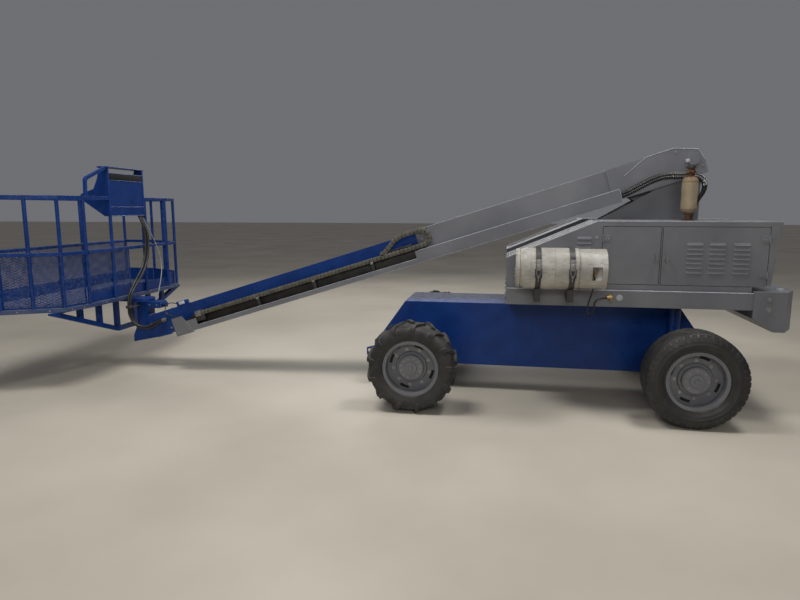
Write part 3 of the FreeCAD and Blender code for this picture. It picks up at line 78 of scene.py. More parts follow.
# Columns: name, place, aimed at, width, depth, watts.
LAMPS = [
    ("lamp_over_boom", (-1.5, -2.0, 6.5), (-0.8, 0, 1.0), 2.4, 1.4, 215),
    ("lamp_over_deck", (3.5, -1.0, 6.5), (2.2, 0, 1.0), 2.0, 1.4, 165),
    ("lamp_front", (1.5, -9.0, 4.2), (0.5, 0, 0.9), 4.0, 1.6, 150),
    ("lamp_behind", (-1.0, 7.0, 5.0), (0.5, 0, 1.2), 5.0, 1.6, 150)]


def add_object(name, data):
    """Puts data into the scene as a new object."""
    thing = bpy.data.objects.new(name, data)
    bpy.context.scene.collection.objects.link(thing)
    return thing


def aim(thing, direction):
    """Turns a lamp or the camera to look along a direction."""
    thing.rotation_euler = direction.to_track_quat("-Z", "Y").to_euler()


def feed(tree, value, socket):
    """Gives an input a fixed value, or links it from another node's output."""
    if isinstance(value, bpy.types.NodeSocket):
        tree.links.new(value, socket)
    else:
        socket.default_value = value


def add_node(tree, kind, inputs=(), **settings):
    """Adds a node with its settings and feeds its inputs."""
    node = tree.nodes.new(kind)
    for label, value in settings.items():
        setattr(node, label, value)
    for label, value in dict(inputs).items():
        feed(tree, value, node.inputs[label])
    return node


def cloud(tree, spots, scale, detail):
    """Noise on the given coordinates."""
    noise = add_node(tree, "ShaderNodeTexNoise", {"Scale": scale, "Detail": detail, "Vector": spots})
    return noise.outputs["Fac"]


def new_material(name):
    """A material with its node tree, its shader's inputs and the object's own coordinates."""
    material = bpy.data.materials.new(name)
    material.use_nodes = True
    tree = material.node_tree
    spots = add_node(tree, "ShaderNodeTexCoord").outputs["Object"]
    return material, tree, tree.nodes["Principled BSDF"].inputs, spots


floor_mesh = bpy.data.meshes.new("workshop_floor")
floor_mesh.from_pydata(
    [(x * FLOOR_REACH, y * FLOOR_REACH, 0) for x, y in ((-1, -1), (1, -1), (1, 1), (-1, 1))], [],
    [(0, 1, 2, 3)])
concrete, tree, skin, spots = new_material("swept_concrete")
tint = add_node(tree, "ShaderNodeValToRGB", {"Fac": cloud(tree, spots, 0.55, 7.0)})
for stop, place, colour in zip(tint.color_ramp.elements, (0.3, 0.72), (FLOOR_DARK, FLOOR_PALE)):
    stop.position = place
    stop.color = colour
feed(tree, tint.outputs["Color"], skin["Base Color"])
feed(tree, 0.62, skin["Roughness"])
floor_mesh.materials.append(concrete)
workshop_floor = add_object("workshop_floor", floor_mesh)
workshop_floor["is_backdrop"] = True

world = bpy.data.worlds.new("workshop_air")
world.use_nodes = True
sky = world.node_tree.nodes["Background"]
sky.inputs["Color"].default_value = (0.66, 0.67, 0.72, 1)
sky.inputs["Strength"].default_value = 0.24
bpy.context.scene.world = world

for name, place, target, width, depth, watts in LAMPS:
    lamp_data = bpy.data.lights.new(name, "AREA")
    lamp_data.shape = "RECTANGLE"
    lamp_data.size = width
    lamp_data.size_y = depth
    lamp_data.energy = watts
    lamp = add_object(name, lamp_data)
    lamp.location = place
    aim(lamp, Vector(target) - Vector(place))

camera_data = bpy.data.cameras.new("standing_view")
camera_data.lens = CAMERA_LENS
camera_data.sensor_width = 36.0
camera = add_object("standing_view", camera_data)
camera.location = CAMERA_PLACE
aim(camera, Vector((
    -math.sin(CAMERA_TURN) * math.cos(CAMERA_DIP), math.cos(CAMERA_TURN) * math.cos(CAMERA_DIP),
    -math.sin(CAMERA_DIP))))
bpy.context.scene.camera = camera
bpy.context.scene.view_settings.view_transform = "Standard"

# Chassis
# A welded box of blue-painted steel plate with sloped ends, open below, with a tie-down eye at each corner.
# The drive stubs are bolted to its sides, and the steered axle's beam crosses it in a notch.
SLEW = 1.550864
BLUE = (0.002, 0.026, 0.150, 1)
BLUE_FADED = (0.004, 0.040, 0.200, 1)
# BLUE_EDGE: paler blue for worn paint and painted highlight along edges.
BLUE_EDGE = (0.05, 0.14, 0.42, 1)
FLOOR_DUST = (0.30, 0.27, 0.23, 1)
STEEL = (0.30, 0.29, 0.28, 1)
STEEL_DULL = (0.16, 0.145, 0.13, 1)
FLANGE_FACE = 0.325
FLANGE_BOLT_RING = 0.112
DRIVE_X = 0.528864
STEER_X = 2.693864
WHEEL_Y = 0.920
AXLE_Z = 0.370
SLEW_BOLT_RING = 0.245
SLEW_BOLT_LEVEL = 0.8985
BUMP_DEPTH = 0.0008
MERGE = 0.00001
UP = Vector((0, 0, 1))
SIDES = (("near", -1), ("far", 1))


def spread(tree, value, low, high, to_low=0.0, to_high=1.0):
    """Turns a value between two limits into a share between two others."""
    scaled = add_node(tree, "ShaderNodeMapRange", {
        "From Min": low, "From Max": high, "To Min": to_low, "To Max": to_high, "Value": value})
    return scaled.outputs["Result"]


def cloud_share(tree, spots, scale, low, high, detail=5.0):
    """Noise spread from 0 at low to 1 at high."""
    return spread(tree, cloud(tree, spots, scale, detail), low, high)


def times(tree, first, second):
    """Multiplies two values, the second a socket or a number."""
    return add_node(tree, "ShaderNodeMath", {0: first, 1: second}, operation="MULTIPLY").outputs[0]


def blend_colour(tree, share, first, second):
    """Mixes two colours, each a socket or a fixed colour, by a socket's share."""
    return add_node(tree, "ShaderNodeMix", {0: share, 6: first, 7: second}, data_type="RGBA").outputs[2]


def coat(name, colour, second, rough, dust=0.0, edge_wear_and_highlight=0.0, edge_wear_and_highlight_colour=STEEL, metal=0.0, scale=6.0,
         grain=180.0, bump=0.12, edge=0.0025, dust_colour=FLOOR_DUST, shine=0.5):
    """A finish in two clouded tones, dusty on level faces, paler along rounded edges as worn paint and painted
    highlight, with a fine bump.
    """
    material, tree, skin, spots = new_material(name)
    surface = add_node(tree, "ShaderNodeNewGeometry").outputs["Normal"]
    rounded = add_node(tree, "ShaderNodeBevel", {"Radius": edge}, samples=4).outputs["Normal"]
    paint = blend_colour(tree, cloud_share(tree, spots, scale, 0.32, 0.68), colour, second)
    # Paler patches along the rounded edges: partly worn paint, partly a painted highlight.
    if edge_wear_and_highlight:
        turn = add_node(tree, "ShaderNodeVectorMath", {0: rounded, 1: surface}, operation="DOT_PRODUCT")
        edge_wear_and_highlight_mask = times(tree, spread(tree, turn.outputs["Value"], 0.995, 0.86),
                     cloud_share(tree, spots, 34.0, 0.42, 0.62))
        paint = blend_colour(tree, times(tree, edge_wear_and_highlight_mask, edge_wear_and_highlight), paint, edge_wear_and_highlight_colour)
    if dust:
        upward = add_node(tree, "ShaderNodeSeparateXYZ", {"Vector": surface}).outputs["Z"]
        lying = times(tree, spread(tree, upward, 0.1, 0.95, 0.25, 1.0),
                      cloud_share(tree, spots, 11.0, 0.30, 0.75, 8.0))
        paint = blend_colour(tree, times(tree, lying, dust), paint, dust_colour)
    haze = spread(tree, cloud_share(tree, spots, 23.0, 0.25, 0.75), 0.0, 1.0, rough - 0.07, rough + 0.12)
    rise = add_node(tree, "ShaderNodeBump", {
        "Strength": bump, "Distance": BUMP_DEPTH, "Height": cloud(tree, spots, grain, 3.0), "Normal": rounded})
    for label, value in (("Metallic", metal), ("Specular IOR Level", shine), ("Base Color", paint),
                         ("Roughness", haze), ("Normal", rise.outputs["Normal"])):
        feed(tree, value, skin[label])
    return material


def dress(finish, *names):
    """Gives carried-over nodes their finish."""
    for name in names:
        data = nodes[name].data
        data.materials.clear()
        data.materials.append(finish)


def rod(bm, start, end, radius, sides=16, end_radius=None):
    """A round bar between two points."""
    start, end = Vector(start), Vector(end)
    line = end - start
    matrix = Matrix.Translation((start + end) / 2) @ line.to_track_quat("Z", "Y").to_matrix().to_4x4()
    bmesh.ops.create_cone(
        bm, cap_ends=True, segments=sides, radius1=radius, radius2=radius if end_radius is None else end_radius,
        depth=line.length, matrix=matrix)


def soften(bm, corners, soft):
    """Rounds the edges that meet at the corners and gives the new corners."""
    edges = list({edge for corner in corners for edge in corner.link_edges})
    return bmesh.ops.bevel(bm, geom=edges, offset=soft, segments=2, affect="EDGES", profile=0.5)["verts"]


def block(bm, low, high, soft=0.0015, turn=None):
    """A block between two corners with rounded edges, turned or leaned by a matrix."""
    low, high = Vector(low), Vector(high)
    size = high - low
    stretch = Matrix.Diagonal((abs(size.x), abs(size.y), abs(size.z), 1))
    matrix = Matrix.Translation((low + high) / 2) @ stretch
    corners = bmesh.ops.create_cube(bm, size=1.0, matrix=matrix)["verts"]
    if soft:
        corners = list(set(soften(bm, corners, soft)) | {corner for corner in corners if corner.is_valid})
    if turn is not None:
        bmesh.ops.transform(bm, matrix=turn, verts=corners)


def sheet_metal(bm, outline, push, soft=0.001):
    """A flat plate from its outline in space, thickened by a vector."""
    corners = [bm.verts.new(Vector(point)) for point in outline]
    face = bm.faces.new(corners)
    grown = bmesh.ops.extrude_face_region(bm, geom=[face])
    moved = [thing for thing in grown["geom"] if isinstance(thing, bmesh.types.BMVert)]
    bmesh.ops.translate(bm, vec=Vector(push), verts=moved)
    if soft:
        soften(bm, corners + moved, soft)


def cover(bm, rings, ends=True):
    """Faces between rings of corners in order, and over the first and the last ring."""
    for low, high in zip(rings, rings[1:]):
        for k in range(len(low)):
            after = (k + 1) % len(low)
            bm.faces.new((low[k], low[after], high[after], high[k]))
    if ends:
        bm.faces.new(rings[0])
        bm.faces.new(rings[-1])


def bolt(bm, place, facing, size=0.010):
    """A hexagon head on its washer."""
    place, facing = Vector(place), Vector(facing)
    rod(bm, place - facing * 0.002, place + facing * size * 0.22, size * 1.25, 16)
    rod(bm, place, place + facing * size * 0.85, size, 6, size * 0.94)


def as_mesh(bm, name, smooth=40):
    """Closes a working mesh: doubles merged, faces outwards, soft shading up to an angle."""
    bmesh.ops.remove_doubles(bm, verts=bm.verts, dist=MERGE)
    bmesh.ops.recalc_face_normals(bm, faces=bm.faces)
    mesh = bpy.data.meshes.new(name)
    bm.to_mesh(mesh)
    bm.free()
    mesh.shade_smooth()
    mesh.set_sharp_from_angle(angle=math.radians(smooth))
    return mesh


def carry(thing, body):
    """Hangs a piece on a body; given two bodies, a start and an end instead, it only bakes the piece's place
    into its mesh.
    """
    if isinstance(body, str):
        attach(thing, body)
    else:
        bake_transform(thing)


def piece(name, body, slot, finish, *shapes):
    """Joins meshes and working meshes into one finished piece and hangs it on its body."""
    bm = bmesh.new()
    for shape in shapes:
        bm.from_mesh(as_mesh(shape, name) if isinstance(shape, bmesh.types.BMesh) else shape)
    whole = bpy.data.meshes.new(name)
    bm.to_mesh(whole)
    bm.free()
    whole.materials.append(finish)
    whole.set_sharp_from_angle(angle=math.radians(40))
    thing = add_object(name, whole)
    carry(thing, body)
    return thing


def steel_piece(name, body, *shapes):
    """A piece of bolts or other zinc-plated parts."""
    piece(name, body, "bare_steel", zinc_bolts, *shapes)


def copying_tree(name, inputs, wire):
    """A node tree that copies a shape onto points, and the identifiers of its inputs.

    wire adds the nodes that find the points, the shape and each copy's turn.
    """
    tree = bpy.data.node_groups.new(name, "GeometryNodeTree")
    sockets = {}
    for label, kind in (("Geometry", "Geometry"),) + inputs + (("Finish", "Material"),):
        sockets[label] = tree.interface.new_socket(
            label, in_out="INPUT", socket_type="NodeSocket" + kind).identifier
    tree.interface.new_socket("Geometry", in_out="OUTPUT", socket_type="NodeSocketGeometry")
    source = add_node(tree, "NodeGroupInput").outputs
    points, shape, turn = wire(tree, source)
    copies = add_node(tree, "GeometryNodeInstanceOnPoints", {
        "Points": points, "Instance": shape, "Rotation": turn})
    real = add_node(tree, "GeometryNodeRealizeInstances", {"Geometry": copies.outputs["Instances"]})
    painted = add_node(tree, "GeometryNodeSetMaterial", {
        "Geometry": real.outputs["Geometry"], "Material": source["Finish"]})
    add_node(tree, "NodeGroupOutput", {"Geometry": painted.outputs["Geometry"]})
    return tree, sockets


def line_or_ring(tree, source):
    """Points in a row, each copy turned about an axis by its number."""
    row = add_node(tree, "GeometryNodeMeshLine", {"Count": source["Count"], "Offset": source["Step"]})
    number = add_node(tree, "GeometryNodeInputIndex").outputs["Index"]
    angle = add_node(tree, "ShaderNodeMath", {0: number, 1: source["Turn"], 2: source["Phase"]},
                     operation="MULTIPLY_ADD")
    spin = add_node(tree, "FunctionNodeAxisAngleToRotation", {
        "Axis": source["Axis"], "Angle": angle.outputs[0]})
    return row.outputs["Mesh"], source["Geometry"], spin.outputs["Rotation"]


REPEAT = copying_tree("repeat_in_line_or_ring", (
    ("Count", "Int"), ("Step", "Vector"), ("Axis", "Vector"), ("Turn", "Float"), ("Phase", "Float")),
    line_or_ring)


def copied(mesh, tree_and_sockets, **settings):
    """What a copying tree makes of a mesh; its working object is taken away again."""
    tree, sockets = tree_and_sockets
    holder = add_object(mesh.name + "_copies", mesh)
    copier = holder.modifiers.new("copies", "NODES")
    copier.node_group = tree
    for label, value in settings.items():
        copier[sockets[label]] = value
    grown = bpy.data.meshes.new_from_object(holder.evaluated_get(bpy.context.evaluated_depsgraph_get()))
    holder.modifiers.remove(copier)
    bpy.data.objects.remove(holder)
    return grown


def repeated(mesh, finish, count, centre=(0, 0, 0), step=(0, 0, 0), axis=(0, 1, 0), turn=0.0, phase=0.0):
    """The mesh copied in a line or a ring about its own origin, then moved to its centre."""
    grown = copied(mesh, REPEAT, Count=count, Step=tuple(step), Axis=tuple(axis), Turn=turn, Phase=phase,
                   Finish=finish)
    grown.transform(Matrix.Translation(centre))
    return grown


def bolt_ring(centre, facing, ring, count, size=0.010, phase=0.0):
    """Hexagon heads in a circle on a face across a shaft."""
    bm = bmesh.new()
    facing = Vector(facing)
    bolt(bm, facing.orthogonal().normalized() * ring, facing, size)
    return repeated(as_mesh(bm, "bolt_one"), zinc_bolts, count, centre, axis=facing, turn=math.tau / count,
                    phase=phase)


blue_enamel = coat("blue_enamel", BLUE, BLUE_FADED, 0.30, dust=0.05, edge_wear_and_highlight=0.75, edge_wear_and_highlight_colour=BLUE_EDGE,
                   shine=0.28)
greased_steel = coat("greased_steel", STEEL_DULL, STEEL, 0.42, dust=0.15, metal=0.8, grain=260.0)
zinc_bolts = coat("zinc_bolts", (0.25, 0.25, 0.26, 1), (0.36, 0.35, 0.33, 1), 0.38, metal=0.85, edge=0.0008)
dress(blue_enamel, "chassis_frame", "tie_down_lugs", "drive_axle", "steer_axle_beam", "lockout_cylinders",
      "steer_knuckle_near", "steer_knuckle_far")
dress(greased_steel, "slew_ring_lower", "slew_ring_upper", "tie_rod")
steel_piece("drive_flange_bolts", "chassis", *[
    bolt_ring((DRIVE_X, across * FLANGE_FACE, AXLE_Z), (0, across, 0), FLANGE_BOLT_RING, 10, 0.009)
    for _, across in SIDES])
steel_piece("slew_ring_bolts", "turntable",
            bolt_ring((SLEW, 0, SLEW_BOLT_LEVEL), UP, SLEW_BOLT_RING, 20))

# Drive tyres
# Foam-filled tractor tyres: a round carcass with slanted bars that run from the middle of the tread
# over the shoulder and down the sidewall, alternating left and right, scuffed gray by concrete dust.
DRIVE_BARS = 13
TYRE_STEPS = 96
CARCASS = [
    (0.106, 0.2125), (0.118, 0.229), (0.128, 0.2335), (0.130, 0.243), (0.139, 0.258), (0.1445, 0.280),
    (0.1450, 0.300), (0.1415, 0.320), (0.131, 0.336), (0.108, 0.3445), (0.060, 0.3475), (0.0, 0.3485)]
# Columns: across the tread, radius of the bar's top, the same for its foot, turn in degrees, half width.
BAR_STATIONS = [
    (-0.014, 0.3695, -0.014, 0.340, 1.2, 0.017), (0.030, 0.3695, 0.030, 0.340, -2.0, 0.018),
    (0.075, 0.3685, 0.074, 0.338, -5.6, 0.0185), (0.112, 0.3655, 0.106, 0.334, -8.2, 0.019),
    (0.137, 0.354, 0.122, 0.328, -9.6, 0.0195), (0.1485, 0.334, 0.132, 0.318, -10.4, 0.0195),
    (0.1495, 0.313, 0.135, 0.306, -10.9, 0.0185), (0.1470, 0.292, 0.139, 0.290, -11.4, 0.016)]


def lathe(profile, steps, smooth=40):
    """Turns (along Y, radius) points about the Y axis; a profile that doesn't close is open on its axis."""
    bm = bmesh.new()
    rings = []
    for along_y, radius in profile:
        rings.append([
            bm.verts.new((radius * math.sin(turn), along_y, radius * math.cos(turn)))
            for turn in (math.tau * k / steps for k in range(steps))])
    if profile[0][1] > 0:
        rings.append(rings[0])
    cover(bm, rings, False)
    bmesh.ops.remove_doubles(bm, verts=bm.verts, dist=MERGE)
    return as_mesh(bm, "turned", smooth)


def mirrored(profile):
    """Adds the other half of a tyre's outline."""
    return profile + [(-a, b) for a, b in reversed(profile) if a > 0]


def tread_bar(mirror):
    """One slanted bar at the top of the wheel; its other end wraps down the sidewall."""
    bm = bmesh.new()
    rows = []
    for top_y, top_r, foot_y, foot_r, turn, half in BAR_STATIONS:
        row = []
        for y, r, side in (
                (foot_y, foot_r, -1.25), (top_y, top_r, -0.85), (top_y, top_r, 0.85), (foot_y, foot_r, 1.25)):
            theta = math.radians(turn) + side * half / r
            row.append(bm.verts.new((r * math.sin(theta), mirror * y, r * math.cos(theta))))
        rows.append(row)
    cover(bm, rows)
    return as_mesh(bm, "tread_bar", 25)


dusty_rubber = coat(
    "dusty_rubber", (0.010, 0.010, 0.010, 1), (0.028, 0.027, 0.025, 1), 0.66, dust=0.26, edge_wear_and_highlight=0.7,
    edge_wear_and_highlight_colour=(0.11, 0.10, 0.095, 1), scale=14.0, grain=420.0, bump=0.35, edge=0.004)
for side, across in SIDES:
    hub = (DRIVE_X, across * WHEEL_Y, AXLE_Z)
    shell = lathe(mirrored(CARCASS), TYRE_STEPS)
    shell.transform(Matrix.Translation(hub))
    bars = [
        repeated(tread_bar(mirror), dusty_rubber, DRIVE_BARS, hub, turn=math.tau / DRIVE_BARS, phase=phase)
        for mirror, phase in ((1, 0.0), (-1, math.pi / DRIVE_BARS))]
    tyre = piece("drive_tyre_" + side, "wheel_drive_" + side, "tyre", dusty_rubber, shell, *bars)
    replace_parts(tyre, "tyre_drive_" + side)

# Steered tyres
# The same size with a worn ribbed tread: four grooves round the tyre, shallow notches in the shoulders,
# and thin moulded rings on the sidewall.
RIB_PROFILE = [
    (0.106, 0.2125), (0.118, 0.229), (0.128, 0.2335), (0.130, 0.243), (0.1385, 0.256), (0.141, 0.258),
    (0.1425, 0.262), (0.1465, 0.284), (0.1490, 0.286), (0.1492, 0.292), (0.1480, 0.294), (0.1470, 0.318),
    (0.1405, 0.340), (0.126, 0.357), (0.104, 0.3655), (0.0835, 0.3680), (0.0815, 0.3590), (0.0745, 0.3590),
    (0.0725, 0.3685), (0.0305, 0.3695), (0.0285, 0.3600), (0.0215, 0.3600), (0.0195, 0.3697), (0.0, 0.3697)]
SHOULDER_BLOCKS = 44
SHOULDER_BLOCK = [
    (-0.015, 0.1475, 0.312), (0.015, 0.1475, 0.312), (0.017, 0.1375, 0.3455), (0.018, 0.1230, 0.3605),
    (-0.018, 0.1230, 0.3605), (-0.017, 0.1375, 0.3455)]

worn_rubber = coat(
    "worn_rubber", (0.009, 0.009, 0.009, 1), (0.022, 0.021, 0.020, 1), 0.52, dust=0.16, edge_wear_and_highlight=0.5,
    edge_wear_and_highlight_colour=(0.09, 0.085, 0.08, 1), scale=10.0, grain=380.0, bump=0.3, edge=0.003)
for side, across in SIDES:
    hub = (STEER_X, across * WHEEL_Y, AXLE_Z)
    shell = lathe(mirrored(RIB_PROFILE), TYRE_STEPS, 30)
    shell.transform(Matrix.Translation(hub))
    blocks = []
    for mirror in (1, -1):
        bm = bmesh.new()
        sheet_metal(bm, [(x, mirror * y, z) for x, y, z in SHOULDER_BLOCK], (0, mirror * 0.0016, 0.0022), 0)
        blocks.append(repeated(
            as_mesh(bm, "block"), worn_rubber, SHOULDER_BLOCKS, hub, turn=math.tau / SHOULDER_BLOCKS))
    tyre = piece("steer_tyre_" + side, "wheel_steer_" + side, "tyre", worn_rubber, shell, *blocks)
    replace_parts(tyre, "tyre_steer_" + side)

# Rims
# Gray pressed-steel discs with a welded well, wheel nuts round a dished middle, hand holes shown as dark plates
# of painted shade, and a hub cap with its own ring of small screws; the drive hubs are the deeper ones.
GRAY = (0.130, 0.134, 0.150, 1)
GRAY_FADED = (0.175, 0.178, 0.192, 1)
# GRAY_EDGE: paler gray for worn paint and painted highlight along edges.
GRAY_EDGE = (0.36, 0.37, 0.39, 1)
DISC_FACE = 0.034
CAP_FACE = 0.092
HAND_HOLE_RING, HAND_HOLE_WIDTH, HAND_HOLE_HEIGHT = 0.176, 0.075, 0.022
HAND_HOLE_START = 20

gray_rim_paint = coat("gray_rim_paint", GRAY, GRAY_FADED, 0.45, dust=0.35, edge_wear_and_highlight=0.8, edge_wear_and_highlight_colour=GRAY_EDGE)
hole_shadow = coat("hole_shadow", (0.004, 0.004, 0.004, 1), (0.010, 0.009, 0.008, 1), 0.8, bump=0.05)
dress(gray_rim_paint, "rim_drive_near", "rim_drive_far", "rim_steer_near", "rim_steer_far")


def hand_hole_shade(bm, hub, across, angle):
    """A dark kidney-shaped thin plate set a hair proud of the disc, painted as the shade inside a hand hole."""
    reach = HAND_HOLE_WIDTH / HAND_HOLE_RING
    outline = [
        (HAND_HOLE_RING + way * HAND_HOLE_HEIGHT / 2, angle + way * reach * (k / 8 - 0.5))
        for way in (1, -1) for k in range(9)]
    face = hub.y + across * DISC_FACE
    points = [(hub.x + r * math.sin(t), face, hub.z + r * math.cos(t)) for r, t in outline]
    sheet_metal(bm, points, (0, across * 0.0012, 0), 0)


# Columns: end, middle of the wheel, nuts, nut ring, cap screws, cap ring, hand holes drawn as painted shade.
for end, middle, nuts, nut_ring, screws, cap_ring, hole_shades in (
        ("drive", DRIVE_X, 9, 0.150, 12, 0.080, 4), ("steer", STEER_X, 8, 0.148, 8, 0.078, 4)):
    for side, across in SIDES:
        wheel = "%s_%s" % (end, side)
        hub = Vector((middle, across * WHEEL_Y, AXLE_Z))
        out = Vector((0, across, 0))
        disc, cap = hub + out * DISC_FACE, hub + out * CAP_FACE
        steel_piece("wheel_fittings_" + wheel, "wheel_" + wheel,
            bolt_ring(disc, out, nut_ring, nuts, 0.013), bolt_ring(cap, out, cap_ring, screws, 0.0065))
        bm = bmesh.new()
        rod(bm, cap - out * 0.002, cap + out * 0.010, 0.052, 32, 0.048)
        rod(bm, cap + out * 0.008, cap + out * 0.018, 0.020, 24, 0.017)
        valve = disc + Vector((-0.105, 0, 0.158))
        rod(bm, valve, valve + out * 0.030 + Vector((0.008, 0, -0.012)), 0.0045, 10)
        piece("hub_cap_" + wheel, "wheel_" + wheel, "gray_paint", gray_rim_paint, bm)
        # Dark plates of painted shade where the disc's hand holes are.
        bm = bmesh.new()
        for k in range(hole_shades):
            hand_hole_shade(bm, hub, across, math.radians(HAND_HOLE_START + 360 / hole_shades * k))
        piece("hand_holes_" + wheel, "wheel_" + wheel, "gray_paint", hole_shadow, bm)

# Turntable deck and counterweight
# Gray-painted welded beams under a plate, with the cast counterweight bolted to the rear end.
# The deck's side has a round pressed plug, and a pale rod along the rolled edge where the hoods stand on it is
# a painted highlight.
DECK_SIDE = 0.750
WEIGHT_SIDE = 0.760
DECK_TOP = 1.005
EDGE_RADIUS = 0.0045

gray_enamel = coat("gray_enamel", GRAY, GRAY_FADED, 0.36, dust=0.20, edge_wear_and_highlight=0.85, edge_wear_and_highlight_colour=GRAY_EDGE,
                   scale=3.2)
# Pale paint for rods laid along edges, standing for painted highlights.
rubbed_edge = coat("rubbed_edge", (0.30, 0.31, 0.33, 1), (0.46, 0.47, 0.49, 1), 0.30, dust=0.1, scale=16.0,
                   bump=0.05)
dress(gray_enamel, "turntable_deck", "boom_uprights", "counterweight", "boom_pivot_pin")
fittings, highlight_rods = bmesh.new(), bmesh.new()
for across in (-1, 1):
    out = Vector((0, across, 0))
    for x, z in ((3.238, 0.960), (3.235, 0.885)):
        bolt(fittings, (x, across * WEIGHT_SIDE, z), out, 0.016)
    y = across * (DECK_SIDE - 0.004)
    # A pale rod along the deck's top edge: a painted highlight.
    rod(highlight_rods, (1.272, y, DECK_TOP), (3.128, y, DECK_TOP), EDGE_RADIUS, 10)
    plug = Vector((2.156, across * DECK_SIDE, 0.950))
    rod(highlight_rods, plug - out * 0.002, plug + out * 0.0025, 0.026, 28, 0.024)
for y in (-0.62, 0.62):
    rod(highlight_rods, (3.36, y, 1.018), (3.36, y, 1.034), 0.030, 24, 0.024)
for y in (-0.5, -0.17, 0.17, 0.5):
    bolt(fittings, (1.2709, y, 0.935), (-1, 0, 0), 0.010)
steel_piece("counterweight_bolts", "turntable", fittings)
piece("deck_lips", "turntable", "gray_paint", rubbed_edge, highlight_rods)

# Hoods and doors
# Folded sheet covers beside the boom with rolled edges, traced by pale rods as painted highlights. Each sloped
# front carries a plank of pressed grip strip with saw-toothed edges and holes shown as dark discs of painted
# shade; doors hang on straps and close with T latches.
HOOD_OUT, HOOD_IN = 0.726, 0.262
SLOPE_FOOT = Vector((1.270864, 0, 1.253))
SLOPE_HEAD = Vector((1.970864, 0, 1.550))
SLOPE_RUN = SLOPE_HEAD - SLOPE_FOOT
SLOPE_ALONG = SLOPE_RUN.normalized()
SLOPE_UP = Vector((-SLOPE_ALONG.z, 0, SLOPE_ALONG.x))
HOLE_PITCH = 0.026
TOOTH_PITCH = 0.020
STRAP_FACE = 0.731
STRAP_LEVELS = (1.142, 1.412)
LATCH_LEVEL = 1.265

dress(gray_enamel, "hood_near", "hood_far", "door_front_near", "door_rear_near", "door_front_far",
      "door_rear_far")
grip_steel = coat("grip_steel", (0.42, 0.42, 0.43, 1), (0.58, 0.57, 0.56, 1), 0.40, dust=0.2, metal=0.5,
                  scale=25.0)
rear_head, rear_foot = Vector((3.297, 0, 1.546)), Vector((3.249, 0, 1.070))
start, run = SLOPE_FOOT + SLOPE_ALONG * 0.02, SLOPE_RUN.length - 0.03
low, high = HOOD_OUT - 0.150, HOOD_OUT - 0.022
edges, planks, hole_shades, buttons = bmesh.new(), [], [], bmesh.new()
for across in (-1, 1):
    out = Vector((0, across, 0))
    outer, inner = out * (HOOD_OUT - 0.004), out * (HOOD_IN + 0.004)
    # Pale rods along the hood's edges: painted highlights.
    for side in (outer, inner):
        rod(edges, SLOPE_FOOT + side, SLOPE_HEAD + side - UP * 0.002, EDGE_RADIUS, 10)
        rod(edges, SLOPE_HEAD + side - UP * 0.003, rear_head + side, EDGE_RADIUS, 10)
    front = SLOPE_FOOT + Vector((0.002, 0, 0))
    rod(edges, front + inner, front + outer, EDGE_RADIUS, 10)
    rod(edges, rear_head + inner, rear_head + outer, EDGE_RADIUS, 10)
    rod(edges, rear_head + outer, rear_foot + outer, EDGE_RADIUS * 0.8, 10)
    bm = bmesh.new()
    sheet_metal(bm, [
        start + SLOPE_ALONG * a + out * b for a, b in ((0, low), (run, low), (run, high), (0, high))],
        SLOPE_UP * 0.003, 0)
    planks.append(as_mesh(bm, "plank"))
    for y, height in ((low, 0.024), (high, 0.015)):
        bm = bmesh.new()
        sheet_metal(bm, [
            SLOPE_ALONG * TOOTH_PITCH * a + SLOPE_UP * height * b
            for a, b in ((0, 0), (1, 0), (1, 0.45), (0.5, 1), (0, 0.45))], (0, 0.003, 0), 0)
        planks.append(repeated(
            as_mesh(bm, "tooth"), grip_steel, int(run / TOOTH_PITCH), start + out * y,
            SLOPE_ALONG * TOOTH_PITCH))
    # Dark discs on the grip strip stand for its holes: painted shade.
    for k, y in enumerate((low + 0.030, low + 0.064, low + 0.098)):
        bm = bmesh.new()
        rod(bm, SLOPE_UP * 0.002, SLOPE_UP * 0.0045, 0.0085, 12)
        first = start + SLOPE_ALONG * (0.02 + HOLE_PITCH / 2 * (k % 2)) + out * y
        hole_shades.append(repeated(
            as_mesh(bm, "hole"), hole_shadow, int(run / HOLE_PITCH) - 1, first, SLOPE_ALONG * HOLE_PITCH))
    # Columns: place along, height, how far it stands out, radius, sides, radius of its face.
    for x, z, proud, radius, sides, tip in (
            (1.337, 1.160, 0.004, 0.009, 14, 0.006), (1.337, 1.130, 0.004, 0.009, 14, 0.006),
            (1.337, 1.104, 0.004, 0.009, 14, 0.006), (1.964, 1.419, 0.003, 0.014, 20, 0.012)):
        button = Vector((x, across * HOOD_OUT, z))
        rod(buttons, button - out * 0.001, button + out * proud, radius, sides, tip)
piece("hood_edges", "turntable", "gray_paint", rubbed_edge, edges)
piece("grip_planks", "turntable", "bare_steel", grip_steel, *planks)
piece("grip_holes", "turntable", "panel_dark", hole_shadow, *hole_shades)
steel_piece("hood_buttons", "turntable", buttons)
# Columns: door, hinge line, latch line from the slew axis.
for door, hinge_x, latch_x in (("front", 0.460, 0.860), ("rear", 1.668, 0.940)):
    for side, across in SIDES:
        bm = bmesh.new()
        away = 1 if latch_x > hinge_x else -1
        for z in STRAP_LEVELS:
            for reach in (0.022, 0.046):
                bolt(bm, (SLEW + hinge_x + away * reach, across * STRAP_FACE, z), (0, across, 0), 0.0055)
        latch = Vector((SLEW + latch_x, across * HOOD_OUT, LATCH_LEVEL))
        rod(bm, latch - Vector((0, across * 0.0005, 0)), latch + Vector((0, across * 0.0025, 0)), 0.021, 24)
        door_side = "%s_%s" % (door, side)
        steel_piece("door_hardware_" + door_side, "door_" + door_side, bm)

